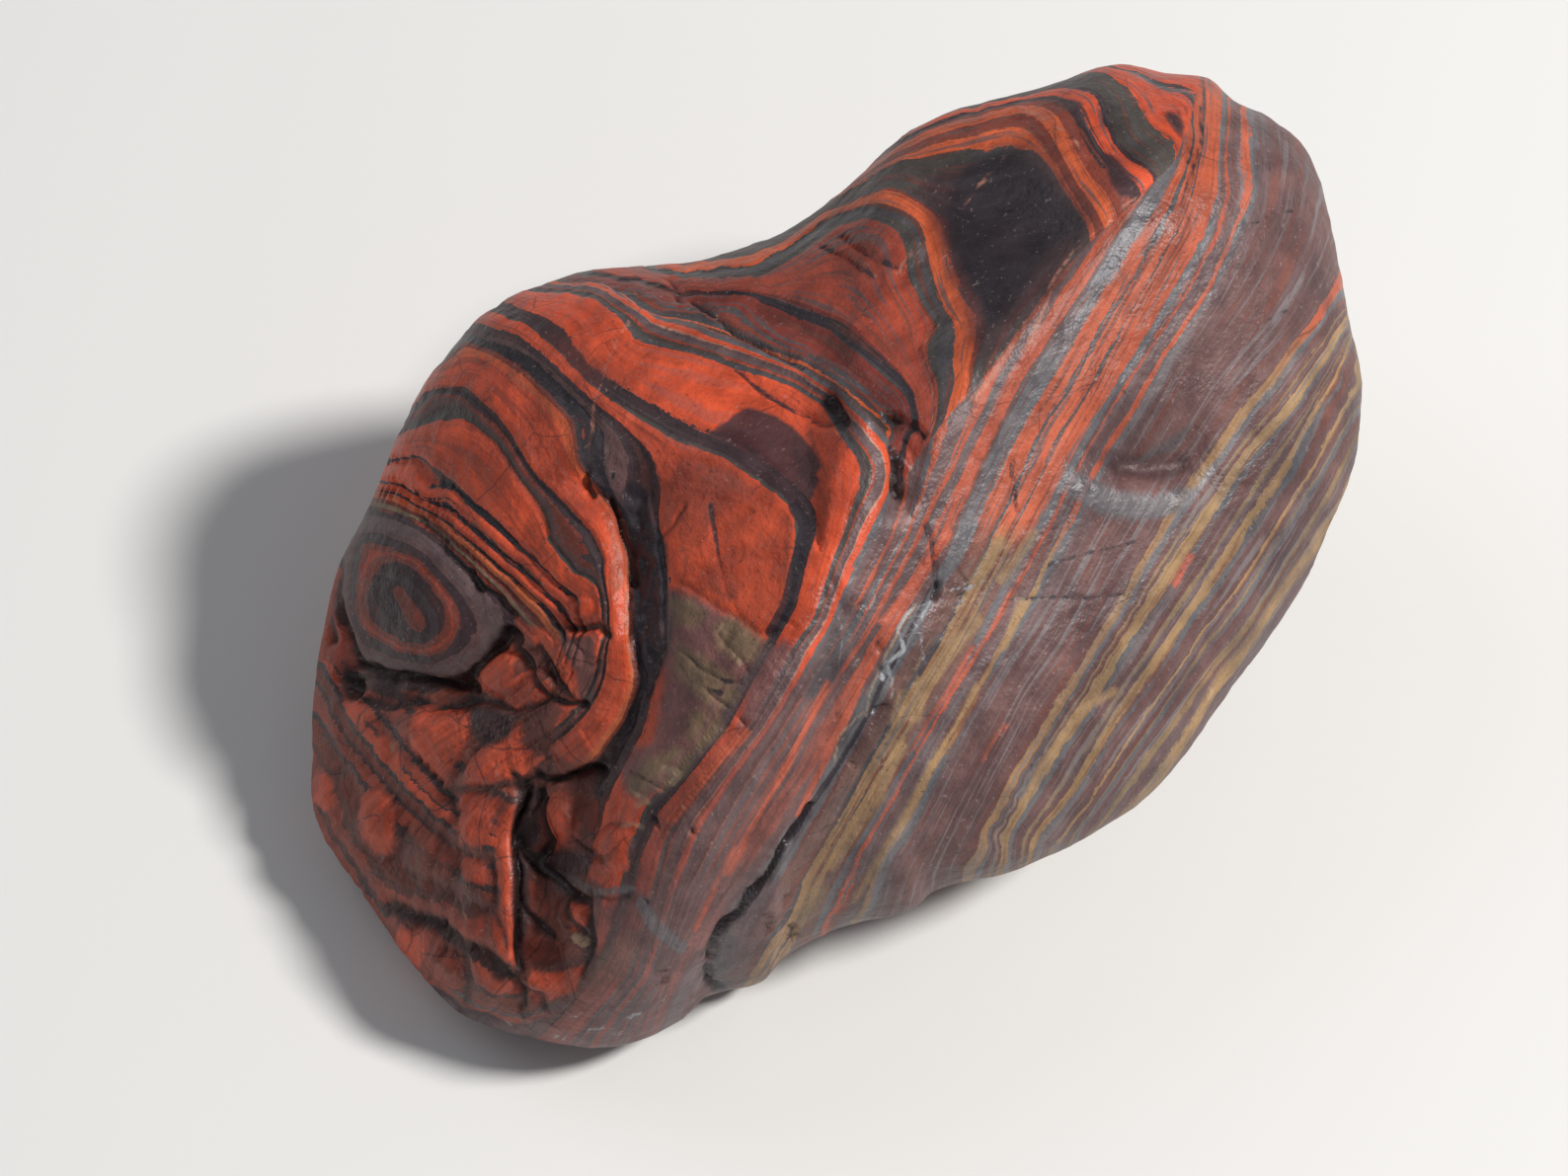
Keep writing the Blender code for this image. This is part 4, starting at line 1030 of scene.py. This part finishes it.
def left_of_route(across, down, route):
    """Distance from a bent line, positive on the left of the way it runs, and the distance past its ends."""
    nearest = np.full(len(across), np.inf)
    signed = np.zeros(len(across))
    for (start_x, start_y), (end_x, end_y) in zip(route, route[1:]):
        run_x = end_x - start_x
        run_y = end_y - start_y
        length = math.hypot(run_x, run_y)
        share = np.clip(((across - start_x) * run_x + (down - start_y) * run_y) / length ** 2, 0.0, 1.0)
        away = np.hypot(across - start_x - share * run_x, down - start_y - share * run_y)
        side = ((across - start_x) * run_y - (down - start_y) * run_x) / length
        closer = away < nearest
        nearest = np.where(closer, away, nearest)
        signed = np.where(closer, side, signed)
    return signed, nearest


def lumps(scale, seed):
    """Smooth noise over the skin, from about -1 to 1; scale is the size of a lump in millimetres."""
    offset = Vector((seed, 2.0 * seed, -seed))
    return np.array([noise.noise(Vector(place) / scale + offset) for place in skin_places])


def facets(scale, seed):
    """Flat tilted facets, one to each cell, as a broken face has."""
    heights = np.empty(len(skin_places))
    offset = Vector((seed, -seed, seed))
    for index, place in enumerate(skin_places):
        at = Vector(place) / scale + offset
        centre = noise.voronoi(at)[1][0]
        lean = noise.noise_vector(centre * 7.3)
        heights[index] = lean.dot(at - centre)
    return heights


skin_normals = np.empty(len(skin_places) * 3)
skin_mesh.vertices.foreach_get("normal", skin_normals)
skin_normals = skin_normals.reshape(-1, 3)
facing = skin_normals @ np.array(EYE_SIGHT)
near_side = np.clip((facing - 0.10) / 0.35, 0.0, 1.0) * np.clip(1.0 - behind_rim / 5.0, 0.0, 1.0)
in_upper = distance_into(skin_across, skin_down, HUMP_SIDE_EDGE) > 0.0
wobble = lumps(3.0, 5.0)
worn_across = skin_across + 2.2 * wobble + 1.4 * lumps(1.1, 7.0)
worn_down = skin_down + 2.2 * lumps(3.4, 9.0) + 1.4 * lumps(1.1, 8.0)
WIDEST_CRACK = 10.0
carved_depth = np.zeros(len(skin_places))
crack_depth = np.zeros(len(skin_places))
for route, half_width, depth in CRACKS:
    away = distance_to_route(worn_across, worn_down, route) / half_width
    carved_depth = np.maximum(carved_depth, depth * np.exp(-away ** 2))
    if half_width < WIDEST_CRACK:
        crack_depth = np.maximum(crack_depth, depth * np.exp(-away ** 2))
relief = -carved_depth
for route, drop, run in LEDGES:
    side, away = left_of_route(worn_across, worn_down, route)
    past_end = np.exp(-np.clip(away - np.abs(side), 0.0, None) / 5.0)
    foot = np.clip(side / 2.5, 0.0, 1.0) * np.exp(-np.clip(side, 0.0, None) / run)
    relief -= drop * foot * past_end
for (block_across, block_down), radius, height in BLOCKS:
    away = np.hypot(worn_across - block_across, worn_down - block_down) / radius
    relief += height * np.clip(1.0 - away ** 2, 0.0, None) ** 0.5
groove_share = np.clip(distance_into(skin_across, skin_down,
                                     [(340, 480), (400, 430), (470, 420), (560, 480), (640, 600), (600, 660),
                                      (520, 640), (420, 540)]) / 12.0, 0.0, 1.0)
for value, half_width, depth in BED_GROOVES:
    share = np.exp(-((hump_beds + 2.0 * wobble - value) / half_width) ** 2)
    relief -= depth * share * np.where(value < -150.0, groove_share, 1.0)
shattered = np.clip(distance_into(skin_across, skin_down, SHATTERED) / 20.0 + 0.5, 0.0, 1.0)
relief += shattered * 0.45 * facets(5.0, 3.0)
rough_strip = np.clip(distance_into(skin_across, skin_down, PATCHES["dark_ore_and_painted_gap_shade"][3][0]) / 6.0, 0.0, 1.0)
relief += 0.35 * rough_strip * lumps(1.3, 6.0)
relief *= near_side


def hardness_of(place, beds):
    starts = np.array([start for start, _ in beds])
    rocks = np.array([ROCKS[rock][4] for _, rock in beds])
    return rocks[np.clip(np.searchsorted(starts, place, side="right") - 1, 0, len(beds) - 1)]


hardness = hardness_of(hump_beds, HUMP_BEDS + FACE_BEDS[1:] + EDGE_BEDS[1:])
hardness = np.where(in_upper, hardness_of(upper_beds, UPPER_BEDS), hardness)
proud = np.interp(skin_across + 0.6 * skin_down, (900.0, 1300.0), (0.22, 0.07))
relief += proud * (hardness - 0.5)
relief += 0.10 * lumps(2.0, 1.0) + 0.22 * lumps(6.0, 2.0) * np.where(behind_rim > 0.0, 1.6, 1.0)
relief += 0.05 * lumps(0.9, 4.0)

carved = skin_places + skin_normals * relief[:, None]
box_low, box_high = (np.array(corner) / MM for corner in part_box("banded_ironstone"))
carved = np.clip(carved + PICTURE_MIDDLE, box_low, box_high)
skin_mesh.vertices.foreach_set("co", (carved * MM).ravel())
skin_mesh.update()
# the narrow cracks' depth, kept for the painted shade in them
keep_on_skin("painted_crack_shade", crack_depth * near_side)
keep_on_skin("broken", shattered * near_side)

# The finish.
# Polished by water but not by hand: jasper is waxy, ore has a dull metal shine, and softer beds are rougher.
finish = bpy.data.materials.new("banded_jasper_and_iron_ore")
finish.use_nodes = True
tree = finish.node_tree
shader = tree.nodes["Principled BSDF"]


def set_in(socket, value):
    """Links a socket to another, or gives it a plain value."""
    if isinstance(value, bpy.types.NodeSocket):
        tree.links.new(value, socket)
    else:
        socket.default_value = value


def worked_out(operation, *values):
    node = tree.nodes.new("ShaderNodeMath")
    node.operation = operation
    for socket, value in zip(node.inputs, values):
        set_in(socket, value)
    return node.outputs[0]


def eased(value, low, high, to_low=0.0, to_high=1.0):
    """Turns a value between two limits into a smooth step."""
    node = tree.nodes.new("ShaderNodeMapRange")
    node.interpolation_type = "SMOOTHSTEP"
    for socket, number in zip(node.inputs, (value, low, high, to_low, to_high)):
        set_in(socket, number)
    return node.outputs[0]


def mixed(share, first, second, way="MIX"):
    node = tree.nodes.new("ShaderNodeMix")
    node.data_type = "RGBA"
    node.blend_type = way
    set_in(node.inputs[0], share)
    set_in(node.inputs[6], first)
    set_in(node.inputs[7], second)
    return node.outputs[2]


def kept(name):
    """A number that was stored on the skin."""
    node = tree.nodes.new("ShaderNodeAttribute")
    node.attribute_name = name
    return node.outputs["Fac"]


def cloud(scale, detail=3.0, roughness=0.55, place=None, fourth=None):
    """Noise about a half, over the stone or at a place given for it."""
    node = tree.nodes.new("ShaderNodeTexNoise")
    node.noise_dimensions = "3D" if fourth is None else "4D"
    set_in(node.inputs["Vector"], place or position)
    if fourth is not None:
        set_in(node.inputs["W"], fourth)
    node.inputs["Scale"].default_value = scale
    node.inputs["Detail"].default_value = detail
    node.inputs["Roughness"].default_value = roughness
    return node.outputs["Fac"]


def ramp_of(beds, place, low, high, pick):
    """Steps from bed to bed along the pile; pick says what of the rock each step holds."""
    node = tree.nodes.new("ShaderNodeValToRGB")
    ramp = node.color_ramp
    ramp.interpolation = "CONSTANT"
    while len(ramp.elements) < len(beds):
        ramp.elements.new(0.5)
    starts = [min(max((start - low) / (high - low), 0.0), 1.0) for start, _ in beds]
    for element, start in zip(ramp.elements, starts):
        element.position = start
    for element, (_, rock) in zip(ramp.elements, beds):
        element.color = pick(ROCKS[rock])
    share = worked_out("DIVIDE", worked_out("SUBTRACT", place, low), high - low)
    set_in(node.inputs[0], share)
    return node.outputs[0]


def fresh_colour(rock):
    return (*rock[0], 1.0)


def rusted_colour(rock):
    return (*rock[1], 1.0)


def shine(rock):
    return (rock[2], rock[3], rock[4], 1.0)


geometry = tree.nodes.new("ShaderNodeTexCoord")
position = geometry.outputs["Object"]

# thin layers within each bed, which run with it and come and go
raw_hump = kept("hump_beds")
raw_upper = kept("upper_beds")
far_position = tree.nodes.new("ShaderNodeVectorMath")
far_position.operation = "SCALE"
set_in(far_position.inputs[0], position)
far_position.inputs["Scale"].default_value = 60.0
side_share = eased(kept("upper_side"), -0.5, 0.5)
pile = mixed(side_share, raw_hump, raw_upper)
layers = cloud(1.0, 4.0, 0.66, far_position.outputs[0], worked_out("MULTIPLY", pile, 0.22))
broad_layers = cloud(0.7, 3.0, 0.6, far_position.outputs[0], worked_out("MULTIPLY", pile, 0.06))

waver = worked_out("MULTIPLY", worked_out("SUBTRACT", cloud(90.0, 4.0, 0.6), 0.5), 8.0)
fuzz = worked_out("MULTIPLY", worked_out("SUBTRACT", cloud(900.0, 3.0, 0.7), 0.5), 4.0)
fingers = worked_out("MULTIPLY", worked_out("SUBTRACT", layers, 0.5), 14.0)
shift = worked_out("ADD", worked_out("ADD", waver, fuzz), fingers)
hump_place = worked_out("ADD", raw_hump, shift)
upper_place = worked_out("ADD", raw_upper, shift)
nodule_place = worked_out("ADD", kept("nodule_rings"), worked_out("MULTIPLY", shift, 0.05))

end_place = worked_out("ADD", kept("end_beds"), worked_out("MULTIPLY", shift, 0.7))
on_end = eased(worked_out("ADD", kept("end_side"), shift), -2.0, 2.0)

on_face = eased(hump_place, 35.9, 36.1)
on_edge = eased(hump_place, 269.9, 270.1)
on_upper = eased(worked_out("ADD", kept("upper_side"), fuzz), -0.8, 0.8)
on_nodule = eased(nodule_place, 5.05, 4.95)
rusted = eased(worked_out("ADD", kept("rust_side"), worked_out("MULTIPLY", waver, 8.0)), -30.0, 30.0)


def beds_of_stone(pick):
    """Whatever is picked of the rock, for every bed of the stone."""
    picked = ramp_of(HUMP_BEDS[1:], hump_place, -220.0, 40.0, pick)
    picked = mixed(on_face, picked, ramp_of(FACE_BEDS, hump_place, 30.0, 275.0, pick))
    picked = mixed(on_edge, picked, ramp_of(EDGE_BEDS, hump_place, 265.0, 440.0, pick))
    picked = mixed(on_upper, picked, ramp_of(UPPER_BEDS, upper_place, -100.0, 320.0, pick))
    picked = mixed(on_end, picked, ramp_of(END_BEDS, end_place, -60.0, 130.0, pick))
    return mixed(on_nodule, picked, ramp_of(NODULE_BEDS, nodule_place, -1.0, 6.0, pick))


colour = mixed(rusted, beds_of_stone(fresh_colour), beds_of_stone(rusted_colour))
shine_of_beds = beds_of_stone(shine)

# jasper is clouded with brown, and every bed is streaked by its own thin layers
brown_cloud = eased(worked_out("ADD", worked_out("MULTIPLY", cloud(75.0, 5.0, 0.62), 0.6),
                               worked_out("MULTIPLY", broad_layers, 0.4)), 0.50, 0.62, 0.0, 0.55)
colour = mixed(brown_cloud, colour, mixed(1.0, colour, (0.52, 0.62, 0.72, 1.0), "MULTIPLY"))
thin_share = eased(raw_hump, 30.0, 60.0, 0.35, 0.8)
streak = mixed(eased(raw_hump, 150.0, 200.0), (0.075, 0.066, 0.072, 1.0), (0.150, 0.132, 0.142, 1.0))
colour = mixed(worked_out("MULTIPLY", eased(layers, 0.53, 0.62), thin_share), colour, streak)
colour = mixed(worked_out("MULTIPLY", eased(layers, 0.46, 0.36), thin_share), colour, (0.225, 0.072, 0.050, 1.0))
colour = mixed(0.6, colour, mixed(broad_layers, (0.45, 0.43, 0.45, 1.0), (1.45, 1.45, 1.42, 1.0)), "MULTIPLY")

# patches and veins laid over the beds, painted shade and painted highlight among them
for layer, (rock, softness, cover, _) in list(PATCHES.items()) + list(VEINS.items()):
    share = eased(worked_out("ADD", kept(layer), worked_out("MULTIPLY", shift, 0.8)), -softness, softness)
    if rock in ("ochre", "olive", "cream"):
        share = worked_out("MULTIPLY", share, eased(layers, 0.60, 0.50, 0.35, 1.0))
    share = worked_out("MULTIPLY", share, cover)
    colour = mixed(share, colour, fresh_colour(ROCKS[rock]))
    shine_of_beds = mixed(share, shine_of_beds, shine(ROCKS[rock]))

# broken faces are dusty and duller than the worn ones
colour = mixed(worked_out("MULTIPLY", kept("broken"), 0.24), colour, (0.165, 0.072, 0.056, 1.0))

split = tree.nodes.new("ShaderNodeSeparateColor")
set_in(split.inputs[0], shine_of_beds)
hard = eased(split.outputs[2], 0.55, 0.75)


def hairlines(scale, width, presence):
    """Fine cracks round cells of the stone, bent a little and broken off here and there."""
    bent = tree.nodes.new("ShaderNodeVectorMath")
    bent.operation = "ADD"
    bend = tree.nodes.new("ShaderNodeTexNoise")
    set_in(bend.inputs["Vector"], position)
    bend.inputs["Scale"].default_value = scale * 2.0
    reach = tree.nodes.new("ShaderNodeVectorMath")
    reach.operation = "SCALE"
    set_in(reach.inputs[0], bend.outputs["Color"])
    reach.inputs["Scale"].default_value = 0.18 / scale
    set_in(bent.inputs[0], position)
    set_in(bent.inputs[1], reach.outputs[0])
    cells = tree.nodes.new("ShaderNodeTexVoronoi")
    cells.feature = "DISTANCE_TO_EDGE"
    set_in(cells.inputs["Vector"], bent.outputs[0])
    cells.inputs["Scale"].default_value = scale
    line = eased(cells.outputs["Distance"], width * scale, 0.0)
    return worked_out("MULTIPLY", line, eased(cloud(scale * 0.9, 2.0), presence, presence + 0.08))


hairline = worked_out("MAXIMUM", hairlines(95.0, 0.00013, 0.52), hairlines(210.0, 0.00009, 0.57))
hairline = worked_out("MULTIPLY", hairline, worked_out("ADD", worked_out("MULTIPLY", hard, 0.75), 0.15))
joints = worked_out("MULTIPLY", hairlines(135.0, 0.00020, 0.40), kept("broken"))
hairline = worked_out("MAXIMUM", hairline, joints)
colour = mixed(worked_out("MULTIPLY", hairline, 0.6), colour, (0.030, 0.016, 0.016, 1.0))
# painted shade: narrow open cracks darkened towards black, the more the deeper they are cut
colour = mixed(eased(kept("painted_crack_shade"), 0.12, 0.7, 0.0, 0.88), colour, (0.020, 0.010, 0.010, 1.0))

blots = cloud(210.0, 4.0, 0.62)
mottle = eased(worked_out("ADD", worked_out("MULTIPLY", blots, 0.55), worked_out("MULTIPLY", layers, 0.45)), 0.36, 0.66)
colour = mixed(0.85, colour, mixed(mottle, (0.55, 0.53, 0.56, 1.0), (1.42, 1.42, 1.38, 1.0)), "MULTIPLY")
grains = cloud(1900.0, 2.0, 0.6)
colour = mixed(eased(grains, 0.64, 0.74, 0.0, 0.4), colour, (0.34, 0.25, 0.23, 1.0))
colour = mixed(eased(grains, 0.36, 0.28, 0.0, 0.5), colour, (0.030, 0.020, 0.022, 1.0))
set_in(shader.inputs["Base Color"], colour)

roughness = worked_out("ADD", split.outputs[0], worked_out("MULTIPLY", worked_out("SUBTRACT", blots, 0.5), 0.45))
set_in(shader.inputs["Roughness"], roughness)
set_in(shader.inputs["Metallic"], split.outputs[1])
shader.inputs["Specular IOR Level"].default_value = 0.38

pits = cloud(520.0, 3.0, 0.65)
bump = tree.nodes.new("ShaderNodeBump")
bump.inputs["Distance"].default_value = 0.0006
bump.inputs["Strength"].default_value = 0.55
set_in(bump.inputs["Height"], pits)
set_in(shader.inputs["Normal"], bump.outputs[0])
skin_mesh.materials.append(finish)

# The studio.
# A plain pale floor, one broad soft light from the picture's right, and a dimmer one that opens the shadows.
PAPER = (0.80, 0.80, 0.79, 1.0)
FLOOR_SIZE = 6.0
middle = Vector(PICTURE_MIDDLE) * MM

floor_mesh = bpy.data.meshes.new("floor")
half = 0.5 * FLOOR_SIZE
floor_mesh.from_pydata([(-half, -half, 0.0), (half, -half, 0.0), (half, half, 0.0), (-half, half, 0.0)],
                       [], [(0, 1, 2, 3)])
floor = bpy.data.objects.new("floor", floor_mesh)
bpy.context.scene.collection.objects.link(floor)
paper = bpy.data.materials.new("pale_paper")
paper.use_nodes = True
paper.node_tree.nodes["Principled BSDF"].inputs["Base Color"].default_value = PAPER
paper.node_tree.nodes["Principled BSDF"].inputs["Roughness"].default_value = 0.9
floor_mesh.materials.append(paper)


def soft_light(name, elevation, turn, distance, size, power, tint):
    """An area light aimed at the stone; turn is its angle from the picture's right, away from the eye."""
    level = math.cos(math.radians(elevation))
    side = EYE_RIGHT * level * math.cos(math.radians(turn)) + EYE_AWAY * level * math.sin(math.radians(turn))
    direction = Vector(side + UPRIGHT * math.sin(math.radians(elevation)))
    light = bpy.data.lights.new(name, "AREA")
    light.shape = "DISK"
    light.size = size
    light.energy = power
    light.color = tint
    lamp = bpy.data.objects.new(name, light)
    lamp.location = middle + direction * distance
    lamp.rotation_mode = "QUATERNION"
    lamp.rotation_quaternion = direction.to_track_quat("Z", "Y")
    bpy.context.scene.collection.objects.link(lamp)


soft_light("key_light", 50.0, -10.0, 1.2, 0.22, 16.0, (1.0, 0.97, 0.93))
soft_light("fill_light", 42.0, 150.0, 1.3, 1.0, 2.2, (0.93, 0.96, 1.0))

sky = bpy.data.worlds.new("studio")
sky.use_nodes = True
sky.node_tree.nodes["Background"].inputs["Color"].default_value = (0.90, 0.94, 1.0, 1.0)
sky.node_tree.nodes["Background"].inputs["Strength"].default_value = 0.20
bpy.context.scene.world = sky
bpy.context.scene.view_settings.view_transform = "Standard"

# The camera looks down at the stone as the photograph does, with the picture's middle in the middle
SENSOR = 36.0
PICTURE_WIDTH = 158.8
camera_data = bpy.data.cameras.new("camera")
camera_data.sensor_width = SENSOR
camera_data.lens = SENSOR * EYE_DISTANCE / PICTURE_WIDTH
camera_data.clip_start = 0.01
camera = bpy.data.objects.new("camera", camera_data)
turned = Matrix((EYE_RIGHT, EYE_UP, EYE_SIGHT)).transposed().to_4x4()
camera.matrix_world = Matrix.Translation(middle + Vector(EYE_SIGHT) * EYE_DISTANCE * MM) @ turned
bpy.context.scene.collection.objects.link(camera)
bpy.context.scene.camera = camera
